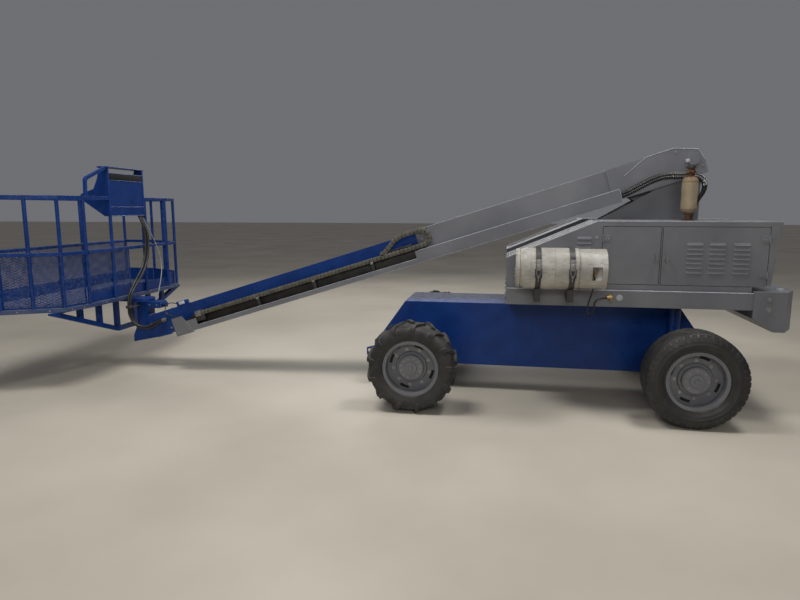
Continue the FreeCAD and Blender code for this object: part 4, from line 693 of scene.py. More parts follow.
# Engine
# The cast block and its rocker cover under the far hood, seen only when that hood's doors are open.
# Dark iron paint under oil film, with cooling ribs and head bolts.
engine_iron = coat("engine_iron", (0.020, 0.021, 0.022, 1), (0.055, 0.052, 0.048, 1), 0.45, dust=0.3,
                   metal=0.3, scale=12.0, bump=0.4, edge_wear_and_highlight=0.4, edge_wear_and_highlight_colour=(0.2, 0.19, 0.17, 1))
dress(engine_iron, "engine")
low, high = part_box("engine")
bm = bmesh.new()
block(bm, (0, high.y - 0.001, low.z + 0.05), (0.010, high.y + 0.012, high.z - 0.12), 0.002)
ribs = repeated(as_mesh(bm, "engine_rib"), engine_iron, 14, (low.x + 0.06, 0, 0), (0.036, 0, 0))
bm = bmesh.new()
bolt(bm, (0, high.y, high.z - 0.05), (0, 1, 0), 0.010)
heads = repeated(as_mesh(bm, "engine_bolt"), engine_iron, 7, (low.x + 0.06, 0, 0), (0.083, 0, 0))
piece("engine_ribs", "turntable", "engine_iron", engine_iron, ribs, heads)

# Silencer
# An upright can of aluminised steel that the heat has turned tan, rusted at its neck, foot and bands,
# on a pipe that comes through the near hood, with a black cap against the rain.
SILENCER = Vector((2.700864, -0.450, 0))
RUST = (0.150, 0.050, 0.018, 1)
RUST_DARK = (0.030, 0.012, 0.008, 1)
CAN = [
    (1.556, 0.0), (1.556, 0.0260), (1.600, 0.0260), (1.606, 0.0400), (1.616, 0.0530), (1.632, 0.0590),
    (1.648, 0.0600), (1.854, 0.0600), (1.870, 0.0590), (1.886, 0.0530), (1.896, 0.0400), (1.900, 0.0280),
    (1.928, 0.0280), (1.928, 0.0360), (1.946, 0.0360), (1.946, 0.0280), (1.968, 0.0280), (1.972, 0.0270),
    (1.972, 0.0)]


def finish_parts(material):
    """A finish's node tree, its base colour's input and what feeds that, and the object's coordinates."""
    tree = material.node_tree
    base = tree.nodes["Principled BSDF"].inputs["Base Color"]
    return tree, base, base.links[0].from_socket, tree.nodes["Texture Coordinate"].outputs["Object"]


strap_black = coat("strap_black", (0.012, 0.012, 0.013, 1), (0.030, 0.030, 0.031, 1), 0.4, dust=0.25, edge_wear_and_highlight=0.8,
                   edge_wear_and_highlight_colour=(0.22, 0.21, 0.20, 1))
silencer_skin = coat("silencer_skin", (0.30, 0.235, 0.145, 1), (0.42, 0.345, 0.23, 1), 0.62, metal=0.25,
                     dust=0.15, scale=9.0, bump=0.3, edge_wear_and_highlight=0.7, edge_wear_and_highlight_colour=(0.16, 0.06, 0.025, 1), edge=0.006)
tree, base, tan, spots = finish_parts(silencer_skin)
level = add_node(tree, "ShaderNodeSeparateXYZ", {"Vector": spots}).outputs["Z"]
ends = add_node(tree, "ShaderNodeMath", {
    0: spread(tree, level, 1.845, 1.905), 1: spread(tree, level, 1.655, 1.585)}, operation="ADD").outputs[0]
rust = blend_colour(tree, cloud_share(tree, spots, 38.0, 0.30, 0.62, 8.0), RUST_DARK, RUST)
rusted = times(tree, ends, cloud_share(tree, spots, 17.0, 0.05, 0.45))
feed(tree, blend_colour(tree, rusted, tan, rust), base)
can = lathe(CAN, 48)
can.transform(Matrix.Translation(SILENCER) @ Matrix.Rotation(math.pi / 2, 4, "X"))
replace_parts(piece("silencer_can", "turntable", "silencer_skin", silencer_skin, can), "silencer")
bm = bmesh.new()
# Columns: height of the band's foot and top, radius, sides.
for z0, z1, radius, sides in (
        (1.640, 1.646, 0.0612, 40), (1.856, 1.862, 0.0612, 40), (1.550, 1.554, 0.052, 32),
        (1.926, 1.934, 0.041, 24)):
    rod(bm, SILENCER + UP * z0, SILENCER + UP * z1, radius, sides)
block(bm, SILENCER + Vector((-0.006, -0.052, 1.919)), SILENCER + Vector((0.006, -0.034, 1.940)), 0.001)
bolt(bm, SILENCER + Vector((0, -0.052, 1.930)), (0, -1, 0), 0.007)
for k in range(4):
    turn = math.radians(45 + 90 * k)
    bolt(bm, SILENCER + Vector((0.043 * math.cos(turn), 0.043 * math.sin(turn), 1.554)), UP, 0.006)
piece("silencer_bands", "turntable", "silencer_skin", silencer_skin, bm)
bm = bmesh.new()
rod(bm, SILENCER + UP * 1.966, SILENCER + UP * 1.984, 0.038, 32, 0.036)
piece("rain_cap", "turntable", "silencer_skin", strap_black, bm)

# Gas bottle
# A steel bottle in scuffed off-white paint on two cradles, held by black band clamps with bright over-centre
# buckles. A black hose leaves its valve and loops down to a brass elbow on the deck's side.
TANK_Y, TANK_Z, TANK_RADIUS = -0.915, 1.190, 0.158
BAND_PLACES = (1.508364, 1.756264)
WELD_PLACES = (1.452, 1.632, 1.812)
WELD_SINK, WELD_RADIUS = 0.0008, 0.0022
GAS_HOSE_RADIUS = 0.006

bottle_paint = coat("bottle_paint", (0.30, 0.285, 0.25, 1), (0.50, 0.48, 0.43, 1), 0.42, dust=0.45, edge_wear_and_highlight=0.9,
                    edge_wear_and_highlight_colour=(0.13, 0.10, 0.07, 1), scale=7.0, bump=0.3, edge=0.004,
                    dust_colour=(0.33, 0.28, 0.21, 1))
tree, base, clean, spots = finish_parts(bottle_paint)
drawn_out = add_node(tree, "ShaderNodeMapping", {"Vector": spots, "Scale": (2.5, 1.0, 14.0)}).outputs["Vector"]
streaks = times(tree, cloud_share(tree, drawn_out, 9.0, 0.54, 0.70, 9.0), 0.55)
feed(tree, blend_colour(tree, streaks, clean, (0.17, 0.145, 0.11, 1)), base)
brass = coat("brass_fitting", (0.40, 0.27, 0.10, 1), (0.50, 0.36, 0.16, 1), 0.35, metal=0.9, edge=0.001)
hose_black = coat("hose_black", (0.010, 0.010, 0.010, 1), (0.022, 0.021, 0.020, 1), 0.42, dust=0.10, bump=0.2)
dress(bottle_paint, "gas_tank")
dress(strap_black, "tank_brackets")


def smooth_path(points, steps=8):
    """Close points along the NURBS spline that has the given points as its control points."""
    line = bpy.data.curves.new("route", "CURVE")
    line.dimensions = "3D"
    spline = line.splines.new("NURBS")
    spline.points.add(len(points) - 1)
    for control, place in zip(spline.points, points):
        control.co = (*place, 1.0)
    spline.order_u = 3
    spline.use_endpoint_u = True
    spline.resolution_u = steps
    carrier = add_object("route", line)
    run = bpy.data.meshes.new_from_object(carrier)
    path = [corner.co.copy() for corner in run.vertices]
    bpy.data.objects.remove(carrier)
    bpy.data.curves.remove(line)
    bpy.data.meshes.remove(run)
    return path


def sweep(bm, path, radius, sides=12):
    """A round tube along close points, with closed ends."""
    across_path = (path[1] - path[0]).normalized().orthogonal().normalized()
    rings = []
    for k, point in enumerate(path):
        ahead = (path[min(k + 1, len(path) - 1)] - path[max(k - 1, 0)]).normalized()
        across_path = (across_path - ahead * across_path.dot(ahead)).normalized()
        other = ahead.cross(across_path)
        rings.append([
            bm.verts.new(point + radius * (across_path * math.cos(turn) + other * math.sin(turn)))
            for turn in (math.tau * j / sides for j in range(sides))])
    cover(bm, rings)


def hose(name, body, finish, points, radius, sides=12, steps=8):
    """A flexible hose made fast to the object at both ends."""
    path = smooth_path(points, steps)
    bm = bmesh.new()
    sweep(bm, path, radius, sides)
    mesh = as_mesh(bm, name, 60)
    mesh.materials.append(finish)
    run = add_object(name, mesh)
    carry(run, body)
    return path


bm = bmesh.new()
for x in WELD_PLACES:
    seam = TANK_RADIUS - WELD_SINK
    sweep(bm, [
        Vector((x, TANK_Y + seam * math.sin(turn), TANK_Z + seam * math.cos(turn)))
        for turn in (math.tau * k / 48 for k in range(49))], WELD_RADIUS, 6)
piece("bottle_welds", "turntable", "tank_paint", bottle_paint, bm)
wires, plates = bmesh.new(), bmesh.new()
for x in BAND_PLACES:
    face = Vector((x, TANK_Y - TANK_RADIUS, TANK_Z))
    for low, high, soft in (((-0.019, -0.0145, 0.012), (0.019, -0.0095, 0.082), 0.002),
                            ((-0.016, -0.0195, -0.004), (0.016, -0.0125, 0.048), 0.003)):
        block(plates, face + Vector(low), face + Vector(high), soft)
    for reach in (-0.017, 0.017):
        sweep(wires, smooth_path([face + Vector(p) for p in (
            (reach, -0.019, 0.010), (reach, -0.021, -0.018), (reach * 0.55, -0.0195, -0.040),
            (0, -0.017, -0.049))]), 0.0032, 8)
    rod(wires, face + Vector((0, -0.012, -0.048)), face + Vector((0, 0.014, -0.088)), 0.0045, 10)
    bolt(wires, face + Vector((0, -0.018, -0.052)), (0, -1, 0), 0.006)
    bolt(wires, (x, TANK_Y - 0.02, DECK_TOP - 0.026), -UP, 0.008)
worn_clamp = coat("worn_clamp", (0.20, 0.20, 0.19, 1), (0.31, 0.30, 0.28, 1), 0.45, dust=0.2, metal=0.5,
                  scale=22.0)
piece("clamp_plates", "turntable", "strap_steel", worn_clamp, plates)
steel_piece("clamp_wires", "turntable", wires)
bm = bmesh.new()
elbow = Vector((2.088, -DECK_SIDE, 0.956))
for start, end, radius, sides in (
        ((0, 0.002, 0), (0, -0.012, 0), 0.020, 6), ((0, -0.010, 0), (0, -0.030, 0), 0.012, 16),
        ((0.006, -0.026, -0.004), (-0.034, -0.028, -0.004), 0.0125, 6),
        ((0, -0.026, 0), (0.004, -0.026, -0.034), 0.009, 12)):
    rod(bm, elbow + Vector(start), elbow + Vector(end), radius, sides)
rod(bm, (1.905, TANK_Y, TANK_Z), (1.962, TANK_Y, TANK_Z), 0.021, 8)
rod(bm, (1.938, TANK_Y, TANK_Z - 0.060), (1.938, TANK_Y, TANK_Z), 0.012, 12)
piece("gas_fittings", "turntable", "bare_steel", brass, bm)
hose("gas_hose", "turntable", hose_black, [
    (1.938, -0.915, 1.146), (1.937, -0.917, 1.080), (1.922, -0.922, 1.000), (1.896, -0.925, 0.925),
    (1.890, -0.925, 0.861), (1.909, -0.897, 0.828), (1.936, -0.858, 0.828), (1.955, -0.830, 0.861),
    (1.955, -0.830, 0.917), (1.987, -0.814, 0.952), (2.058, -0.777, 0.952)], GAS_HOSE_RADIUS, 14)

# Lift cylinder
# Blue barrel with a hydraulic port near each end, and a hard-chromed rod that comes out of it towards the
# boom, made as such machines have it.
LIFT_FOOT = Vector((1.830864, 0, 1.090))
LIFT_ANGLE = math.radians(43.1458)
LIFT_ALONG = Vector((math.cos(LIFT_ANGLE), 0, math.sin(LIFT_ANGLE)))
LIFT_UP = Vector((-LIFT_ALONG.z, 0, LIFT_ALONG.x))

hard_chrome = coat("hard_chrome", (0.52, 0.52, 0.54, 1), (0.62, 0.62, 0.63, 1), 0.12, metal=1.0, bump=0.03,
                   edge=0.001)
dress(blue_enamel, "lift_barrel")
dress(hard_chrome, "lift_rod")
bm = bmesh.new()
for reach in (0.100, 0.640):
    port = LIFT_FOOT + LIFT_ALONG * reach
    rod(bm, port + LIFT_UP * 0.054, port + LIFT_UP * 0.080, 0.014, 6)
    rod(bm, port + LIFT_UP * 0.078, port + LIFT_UP * 0.090, 0.010, 12)
steel_piece("cylinder_ports", "lift_barrel", bm)

# Base boom section
# A long welded box between two cheek plates, gray-painted, with pale rods as painted highlights along the
# cheeks and the box's edges, and bolts where the wear pads sit near its mouth.
PIVOT = Vector((2.795864, 0, 2.058))
DROP = math.radians(17.4)
BASE_SIDE, BASE_HIGH, BASE_LOW = 0.132, 0.125, -0.150
CHEEK_SIDE = 0.142
BASE_MOUTH = 2.450


def boom(u, y, v):
    """A place in the boom's frame: u from the pivot to the tip, v square to it, upwards."""
    return Vector((PIVOT.x - u * math.cos(DROP) - v * math.sin(DROP), y,
                   PIVOT.z - u * math.sin(DROP) + v * math.cos(DROP)))


def boom_block(bm, u0, u1, y0, y1, v0, v1, soft=0.0015):
    """A block squared to the boom."""
    start = boom(0, 0, 0)
    turn = Matrix.Translation(start) @ Matrix.Rotation(-DROP, 4, "Y")
    block(bm, (-u1, y0, v0), (-u0, y1, v1), soft, turn)


dress(gray_enamel, "base_boom")
BOOM_UP = boom(0, 0, 1) - boom(0, 0, 0)
CHEEK_RIM = [(-0.089, -0.035), (-0.059, 0.069), (0.126, 0.134), (0.354, 0.131), (0.560, 0.035)]
edges, bolts = bmesh.new(), bmesh.new()
for across in (-1, 1):
    # Pale rods along the cheeks' rims and the box's edges: painted highlights.
    y = across * (CHEEK_SIDE - 0.001)
    for (u0, v0), (u1, v1) in zip(CHEEK_RIM, CHEEK_RIM[1:]):
        rod(edges, boom(u0, y, v0), boom(u1, y, v1), 0.0034, 8)
    y = across * (BASE_SIDE - 0.002)
    for u, v in ((0.70, BASE_HIGH - 0.002), (0.42, BASE_LOW + 0.002)):
        rod(edges, boom(u, y, v), boom(BASE_MOUTH, y, v), 0.0025, 8)
    # Columns: place along the boom, height, side, size.
    for u, v, side, size in (
            (2.405, 0.095, BASE_SIDE, 0.008), (2.405, 0.030, BASE_SIDE, 0.008),
            (-0.060, -0.075, CHEEK_SIDE, 0.007), (0.118, 0.100, CHEEK_SIDE, 0.007)):
        bolt(bolts, boom(u, across * side, v), (0, across, 0), size)
for u in (2.400, 2.430):
    for y in (-0.05, 0.05):
        bolt(bolts, boom(u, y, BASE_HIGH), BOOM_UP, 0.008)
boom_block(edges, 0.030, 0.062, -CHEEK_SIDE - 0.0155, -CHEEK_SIDE + 0.001, -0.016, 0.016, 0.003)
piece("boom_edges", "base_boom", "gray_paint", rubbed_edge, edges)
steel_piece("boom_bolts", "base_boom", bolts)

# Hose tray and cable chain
# A gray sheet duct beside the boom, black inside, that carries a chain of olive-gray nylon links with the
# platform's hoses in it. The chain turns back in a loop at the boom's mouth and ends at a bracket ahead.
TRAY_NEAR, TRAY_INNER = -0.212, -0.142
TRAY_LOW, TRAY_TOP = -0.175, -0.060
TRAY_REAR, TRAY_FRONT = 0.640, 5.065
CHAIN_Y, CHAIN_LEVEL, CHAIN_LOOP = -0.178, -0.026, 0.070
LOOP_MIDDLE = 2.400
LINK_PITCH, LINK_HALF_WIDTH, LINK_HALF_HEIGHT = 0.038, 0.026, 0.021
PLATFORM_HOSE_RADIUS = 0.0105

tray_black = coat("tray_black", (0.006, 0.006, 0.006, 1), (0.018, 0.017, 0.015, 1), 0.55, dust=0.25,
                  scale=12.0)
chain_nylon = coat("chain_nylon", (0.060, 0.057, 0.040, 1), (0.105, 0.100, 0.075, 1), 0.6, dust=0.5, edge_wear_and_highlight=0.6,
                   edge_wear_and_highlight_colour=(0.24, 0.23, 0.19, 1), scale=18.0, edge=0.0015)
dress(gray_enamel, "hose_tray")
# Dark sheets laid along the inside of the tray's wall and floor.
bm = bmesh.new()
start, end = BASE_MOUTH + 0.004, TRAY_FRONT - 0.006
for u0, u1, y0, y1, v0, v1 in (
        (start, end, TRAY_INNER - 0.0055, TRAY_INNER - 0.0032, TRAY_LOW + 0.004, TRAY_TOP + 0.014),
        (start, end, TRAY_NEAR + 0.0034, TRAY_INNER - 0.004, TRAY_LOW + 0.0034, TRAY_LOW + 0.0056),
        (start + 0.041, end - 0.256, TRAY_NEAR + 0.0032, TRAY_NEAR + 0.0052, TRAY_LOW + 0.0055,
         TRAY_LOW + 0.043)):
    boom_block(bm, u0, u1, y0, y1, v0, v1, 0.0005)
piece("tray_liner", "base_boom", "panel_dark", tray_black, bm)
# Pale rods along the tray's edges: painted highlights.
bm = bmesh.new()
y, low, high = TRAY_NEAR + 0.002, TRAY_LOW + 0.002, TRAY_TOP - 0.002
for u0, v0, u1, v1, radius in (
        (TRAY_REAR, high, BASE_MOUTH, high, 0.0032), (TRAY_REAR, low, TRAY_FRONT, low, 0.0025),
        (BASE_MOUTH + 0.04, low + 0.044, TRAY_FRONT - 0.26, low + 0.044, 0.0022),
        (TRAY_REAR, low, TRAY_REAR, high, 0.003)):
    rod(bm, boom(u0, y, v0), boom(u1, y, v1), radius, 8)
piece("tray_edges", "base_boom", "gray_paint", rubbed_edge, bm)


def along_curve(tree, source):
    """Points at every pitch along a run, each copy facing along it."""
    curve = add_node(tree, "GeometryNodeMeshToCurve", {"Mesh": source["Geometry"]}).outputs["Curve"]
    even = add_node(tree, "GeometryNodeResampleCurve", {"Curve": curve, "Length": source["Pitch"]},
                    mode="LENGTH")
    tangent = add_node(tree, "GeometryNodeInputTangent").outputs["Tangent"]
    turn = add_node(tree, "FunctionNodeAlignRotationToVector", {"Vector": tangent}, axis="X", pivot_axis="Y")
    shape = add_node(tree, "GeometryNodeObjectInfo", {"Object": source["Link"]}).outputs["Geometry"]
    return even.outputs["Curve"], shape, turn.outputs["Rotation"]


LINKS = copying_tree("links_along_a_path", (("Pitch", "Float"), ("Link", "Object")), along_curve)


def along_path(points, mesh, pitch, finish):
    """The mesh set along a run of points, facing along it, every pitch."""
    run = bpy.data.meshes.new("run")
    run.from_pydata([tuple(p) for p in points], [(k, k + 1) for k in range(len(points) - 1)], [])
    one = add_object("one", mesh)
    grown = copied(run, LINKS, Pitch=pitch, Link=one, Finish=finish)
    bpy.data.objects.remove(one)
    return grown


bm = bmesh.new()
reach = LINK_PITCH * 0.60
for y in (-LINK_HALF_WIDTH, LINK_HALF_WIDTH - 0.005):
    sheet_metal(bm, [
        (-reach, y, -0.010), (-reach, y, 0.010), (-reach + 0.010, y, LINK_HALF_HEIGHT),
        (reach - 0.010, y, LINK_HALF_HEIGHT), (reach, y, 0.010), (reach, y, -0.010),
        (reach - 0.010, y, -LINK_HALF_HEIGHT), (-reach + 0.010, y, -LINK_HALF_HEIGHT)], (0, 0.005, 0), 0.001)
for z in (-LINK_HALF_HEIGHT + 0.002, LINK_HALF_HEIGHT - 0.002):
    block(bm, (-0.006, -LINK_HALF_WIDTH + 0.001, z - 0.002),
          (0.006, LINK_HALF_WIDTH - 0.001, z + 0.002), 0.0008)
for x, half, radius, sides in ((reach - 0.009, LINK_HALF_WIDTH + 0.0025, 0.0055, 10),
                               (-reach + 0.011, LINK_HALF_WIDTH + 0.0010, 0.0035, 8)):
    rod(bm, (x, -half, 0), (x, half, 0), radius, sides)
route = [(4.790, CHAIN_LEVEL), (4.0, CHAIN_LEVEL), (3.2, CHAIN_LEVEL), (LOOP_MIDDLE, CHAIN_LEVEL)]
for k in range(1, 13):
    turn = math.pi * k / 12
    route.append((LOOP_MIDDLE - CHAIN_LOOP * math.sin(turn), CHAIN_LEVEL + CHAIN_LOOP * (1 - math.cos(turn))))
route += [(2.520, 0.113), (2.600, 0.106), (2.660, 0.082), (2.705, 0.050), (2.745, 0.024), (2.790, 0.006)]
chain_points = [boom(u, CHAIN_Y, v) for u, v in route]
links = along_path(chain_points, as_mesh(bm, "link"), LINK_PITCH, chain_nylon)
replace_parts(piece("cable_chain", "base_boom", "chain_plastic", chain_nylon, links), "hose_chain")
bm = bmesh.new()
for shift in (-0.012, 0.012):
    sweep(bm, [point + Vector((0, shift, 0)) for point in chain_points], PLATFORM_HOSE_RADIUS, 10)
boom_block(bm, 2.500, 2.760, -0.200, -0.152, CHAIN_LEVEL + 0.024, CHAIN_LEVEL + 0.040, 0.004)
piece("chain_hoses", "base_boom", "panel_dark", hose_black, bm)
rests, steel = bmesh.new(), bmesh.new()
for u in (2.900, 3.500, 4.100):
    boom_block(rests, u, u + 0.030, -0.206, -0.148, TRAY_LOW + 0.006, CHAIN_LEVEL - 0.021)
    boom_block(steel, u + 0.002, u + 0.028, -0.2075, -0.2035, CHAIN_LEVEL - 0.034, CHAIN_LEVEL - 0.012, 0.001)
    bolt(steel, boom(u + 0.015, -0.2075, CHAIN_LEVEL - 0.026), (0, -1, 0), 0.0055)
boom_block(rests, 4.710, 4.825, -0.206, -0.150, -0.100, -0.050)
boom_block(steel, 4.740, 4.800, -0.2090, -0.1500, CHAIN_LEVEL - 0.026, CHAIN_LEVEL + 0.032, 0.002)
# Columns: place along the boom, side, height, size.
for u, y, v, size in (
        (4.755, -0.209, CHAIN_LEVEL + 0.006, 0.006), (4.785, -0.209, CHAIN_LEVEL + 0.006, 0.006),
        (4.905, TRAY_NEAR - 0.004, -0.150, 0.007), (5.035, TRAY_NEAR - 0.004, -0.150, 0.007)):
    bolt(steel, boom(u, y, v), (0, -1, 0), size)
piece("chain_rests", "base_boom", "panel_dark", tray_black, rests)
steel_piece("chain_clamps", "base_boom", steel)
loops = [
    [(4.800, -0.186, -0.040), (4.850, -0.186, -0.052), (4.890, -0.182, -0.080), (4.920, -0.172, -0.105),
     (4.960, -0.160, -0.110), (5.010, -0.152, -0.090)],
    [(4.800, -0.168, -0.020), (4.850, -0.168, -0.030), (4.905, -0.164, -0.058), (4.940, -0.158, -0.080),
     (4.985, -0.150, -0.082), (5.030, -0.148, -0.070)]]
bm = bmesh.new()
for run in loops:
    sweep(bm, smooth_path([boom(*p) for p in run]), PLATFORM_HOSE_RADIUS, 10)
piece("tray_end_hoses", "base_boom", "panel_dark", hose_black, bm)

# Hoses round the boom's pivot
# A bundle of black hydraulic hoses, two of them in wire guards, clamped to the tray's rear end. It runs up
# beside the cheek, over behind the pivot and down between the uprights.
OVER_PIVOT = ("turntable", "base_boom", (2.870, -0.18, 1.800), (2.450, -0.18, 1.880))
PIVOT_HOSE_RADIUS = 0.0090
# Columns: the hose's lift above the middle one, how far it lies to the near side, whether a guard is on it.
PIVOT_HOSES = [
    (0.0, 0.0, False), (0.021, 0.004, False), (-0.021, 0.003, False), (0.010, 0.024, True),
    (-0.012, 0.025, True)]
GUARD_START, GUARD_END, GUARD_TURNS = 8, 86, 52
GUARD_RADIUS, GUARD_WIRE = 0.0115, 0.0022
COIL_STEPS = 8


def coil_round(path, turns, radius):
    """Points of a wire coil round a hose's path."""
    coil = []
    for k in range(turns * COIL_STEPS):
        along = k / (turns * COIL_STEPS) * (len(path) - 1)
        here = int(along)
        ahead = (path[here + 1] - path[here]).normalized()
        first = Vector((0, 1, 0))
        angle = math.tau * k / COIL_STEPS
        coil.append(path[here].lerp(path[here + 1], along - here)
                    + radius * (first * math.cos(angle) + ahead.cross(first) * math.sin(angle)))
    return coil


guard = bmesh.new()
for number, (lift, side, guarded) in enumerate(PIVOT_HOSES):
    y = -0.176 - side
    dip = min(lift, 0.0)
    path = hose("pivot_hose_%d" % number, OVER_PIVOT, hose_black, [
        boom(0.700, y, -0.118 + lift * 0.6), boom(0.600, y, -0.112 + lift), boom(0.480, y, -0.088 + lift),
        boom(0.350, y, -0.062 + lift), (2.585, y, 1.925 + lift), (2.690, y, 1.920 + lift),
        (2.775, y, 1.928 + lift), (2.850 + lift * 0.4 + dip * 0.4, y, 1.918 + lift * 0.6),
        (2.893 + lift * 0.6, y, 1.865 + dip * 0.45), (2.890 + lift * 0.6, y + 0.01, 1.790 + dip * 0.4),
        (2.856 + lift * 0.4, y + 0.04, 1.720), (2.826, y + 0.06, 1.640), (2.815, y + 0.07, 1.560)],
        PIVOT_HOSE_RADIUS, 10, 10)
    if guarded:
        sweep(guard, coil_round(path[GUARD_START:GUARD_END], GUARD_TURNS, GUARD_RADIUS), GUARD_WIRE, 5)
steel_piece("hose_guards", OVER_PIVOT, guard)

# Fly section and its head
# The inner boom section in blue paint with a fork head for the levelling pin. A little switch box with a pale
# lid sits on its top, its cable looping into the section's end.
HEAD_SIDE = 0.105
FLY_TOP = 0.104

dress(blue_enamel, "fly_boom", "level_link")
pale_lid = coat("pale_lid", (0.55, 0.57, 0.60, 1), (0.66, 0.68, 0.70, 1), 0.4, dust=0.3, scale=30.0)
bm = bmesh.new()
for across in (-1, 1):
    for u, v in ((5.160, 0.070), (5.160, -0.085), (5.235, 0.020)):
        bolt(bm, boom(u, across * HEAD_SIDE, v), (0, across, 0), 0.0085)
for y in (-0.070, 0.070):
    bolt(bm, boom(5.105, y, FLY_TOP), BOOM_UP, 0.008)
steel_piece("head_bolts", "fly_boom", bm)
box, lid, cable = bmesh.new(), bmesh.new(), bmesh.new()
boom_block(box, 4.930, 5.040, -0.080, -0.010, FLY_TOP - 0.001, FLY_TOP + 0.046, 0.006)
piece("switch_box", "fly_boom", "blue_paint", blue_enamel, box)
boom_block(lid, 4.945, 5.010, -0.0822, -0.0792, FLY_TOP + 0.008, FLY_TOP + 0.040, 0.001)
boom_block(lid, 4.940, 5.030, -0.072, -0.018, FLY_TOP + 0.0455, FLY_TOP + 0.048, 0.001)
piece("switch_lid", "fly_boom", "blue_paint", pale_lid, lid)
sweep(cable, smooth_path([boom(u, y, FLY_TOP + v) for u, y, v in (
    (5.040, -0.045, 0.022), (5.085, -0.050, 0.050), (5.130, -0.070, 0.062), (5.165, -0.100, 0.030),
    (5.160, -0.116, -0.030), (5.110, -0.118, -0.075), (5.040, -0.112, -0.100))]), 0.0045, 8)
piece("switch_cable", "fly_boom", "panel_dark", hose_black, cable)

# Knuckle and rotator
# A blue welded block that stays upright on the levelling pin, with the rotator's post, its worm box and motor.
# A short arm on the post carries the clamp through which the platform's hoses pass.
POST_SIDE = 0.062
CLAMP = Vector((-2.500, -0.200, 0.655))

bm = bmesh.new()
for across in (-1, 1):
    pin = Vector((-2.3188, across * 0.1193, 0.4551))
    for proud, radius, sides in ((0.010, 0.024, 6), (0.016, 0.013, 12)):
        rod(bm, pin, pin + Vector((0, across * proud, 0)), radius, sides)
    for x in (-2.360, -2.280):
        bolt(bm, (x, across * 0.070, 0.658), (0, across, 0), 0.0075)
    for z in (0.645, 0.670):
        bolt(bm, (-2.2488, across * 0.045, z), (1, 0, 0), 0.006)
steel_piece("knuckle_bolts", "level_link", bm)
bm = bmesh.new()
block(bm, CLAMP + Vector((-0.016, -0.030, -0.006)), (CLAMP.x + 0.050, -POST_SIDE + 0.002, CLAMP.z + 0.002))
block(bm, CLAMP + Vector((-0.022, -0.034, -0.014)), CLAMP + Vector((0.022, 0.034, 0.014)), 0.003)
piece("hose_clamp", "level_link", "blue_paint", strap_black, bm)

# Platform floor and truss
# A tread plate of raised lozenges on a tube frame, with a truss across the machine below it.
# Blue paint, dusty, and worn pale where boots stand; the pale edges are partly a painted highlight.
PLATFORM_REAR = -2.563818
PLATFORM_FRONT = -3.463818
TREAD_LEVEL = 0.763
LOZENGE_PITCH = 0.056
LOZENGE_HALF_LONG, LOZENGE_HALF_WIDE, LOZENGE_RISE = 0.013, 0.0022, 0.0020

# Pale gray along the tread's edges: worn paint and a painted highlight.
worn_deck = coat("worn_deck", (0.014, 0.040, 0.140, 1), (0.045, 0.070, 0.160, 1), 0.5, dust=0.55, edge_wear_and_highlight=0.9,
                 edge_wear_and_highlight_colour=(0.30, 0.31, 0.34, 1), scale=8.0)
dress(worn_deck, "platform_floor")
dress(blue_enamel, "toe_boards", "platform_truss")
lozenges = []
x0 = PLATFORM_FRONT + 0.070
for lean, shift in ((1, 0.0), (-1, LOZENGE_PITCH / 2)):
    half = Vector((LOZENGE_HALF_LONG, lean * LOZENGE_HALF_LONG, 0))
    wide = Vector((LOZENGE_HALF_WIDE, -lean * LOZENGE_HALF_WIDE, 0))
    # Columns: the field's two sides and how far its end stands off the platform's rear edge.
    for y0, y1, inset in ((-0.655, 0.655, 0.075), (-1.130, -0.655, 0.430), (0.655, 1.130, 0.430)):
        bm = bmesh.new()
        base = [bm.verts.new(p) for p in (half * 1.15, wide * 1.6, -half * 1.15, -wide * 1.6)]
        top = [bm.verts.new(p + UP * LOZENGE_RISE) for p in (half * 0.8, wide, -half * 0.8, -wide)]
        cover(bm, (base, top))
        row = repeated(as_mesh(bm, "lozenge"), worn_deck, int((PLATFORM_REAR - inset - x0) / LOZENGE_PITCH),
                       step=(LOZENGE_PITCH, 0, 0))
        lozenges.append(repeated(
            row, worn_deck, int((y1 - y0) / LOZENGE_PITCH),
            (x0 + shift, y0 + 0.028 + shift, TREAD_LEVEL - 0.0002), (0, LOZENGE_PITCH, 0)))
piece("tread_lozenges", "platform", "blue_paint", worn_deck, *lozenges)

# Guard rails and gate
# Blue tube rails in four panels with a swing gate behind, bolted to the floor frame, chipped along their tops,
# where the pale edge colour is also a painted highlight.
FRAME_BOLT_PITCH = 0.35
FRAME_BOLT_LEVEL = 0.740

# Pale blue along the rails' edges: chips and a painted highlight.
rail_paint = coat("rail_paint", BLUE, BLUE_FADED, 0.24, dust=0.05, edge_wear_and_highlight=0.95, edge_wear_and_highlight_colour=(0.30, 0.36, 0.50, 1),
                  scale=11.0, edge=0.003, shine=0.45)
dress(rail_paint, "rail_near", "rail_far", "rail_front", "rail_rear", "platform_gate")


def along_and_inward(first, second):
    """The direction of a side of the platform, and the one into the platform from it."""
    ahead = (second - first).normalized()
    return ahead, Vector((ahead.y, -ahead.x, 0))


near_corners = [
    (PLATFORM_REAR, -0.690), (PLATFORM_REAR - 0.055, -0.950), (PLATFORM_REAR - 0.500, -1.200),
    (PLATFORM_FRONT, -1.200)]
corners = [Vector((x, y, 0)) for x, y in near_corners + [(x, -y) for x, y in reversed(near_corners)]]
bm = bmesh.new()
for first, second in zip(corners, corners[1:] + corners[:1]):
    ahead, inward = along_and_inward(first, second)
    count = max(2, int((second - first).length / FRAME_BOLT_PITCH))
    for k in range(count):
        spot = first.lerp(second, (k + 0.5) / count)
        bolt(bm, spot + UP * FRAME_BOLT_LEVEL + inward * 0.001, -inward, 0.0065)
steel_piece("frame_bolts", "platform", bm)

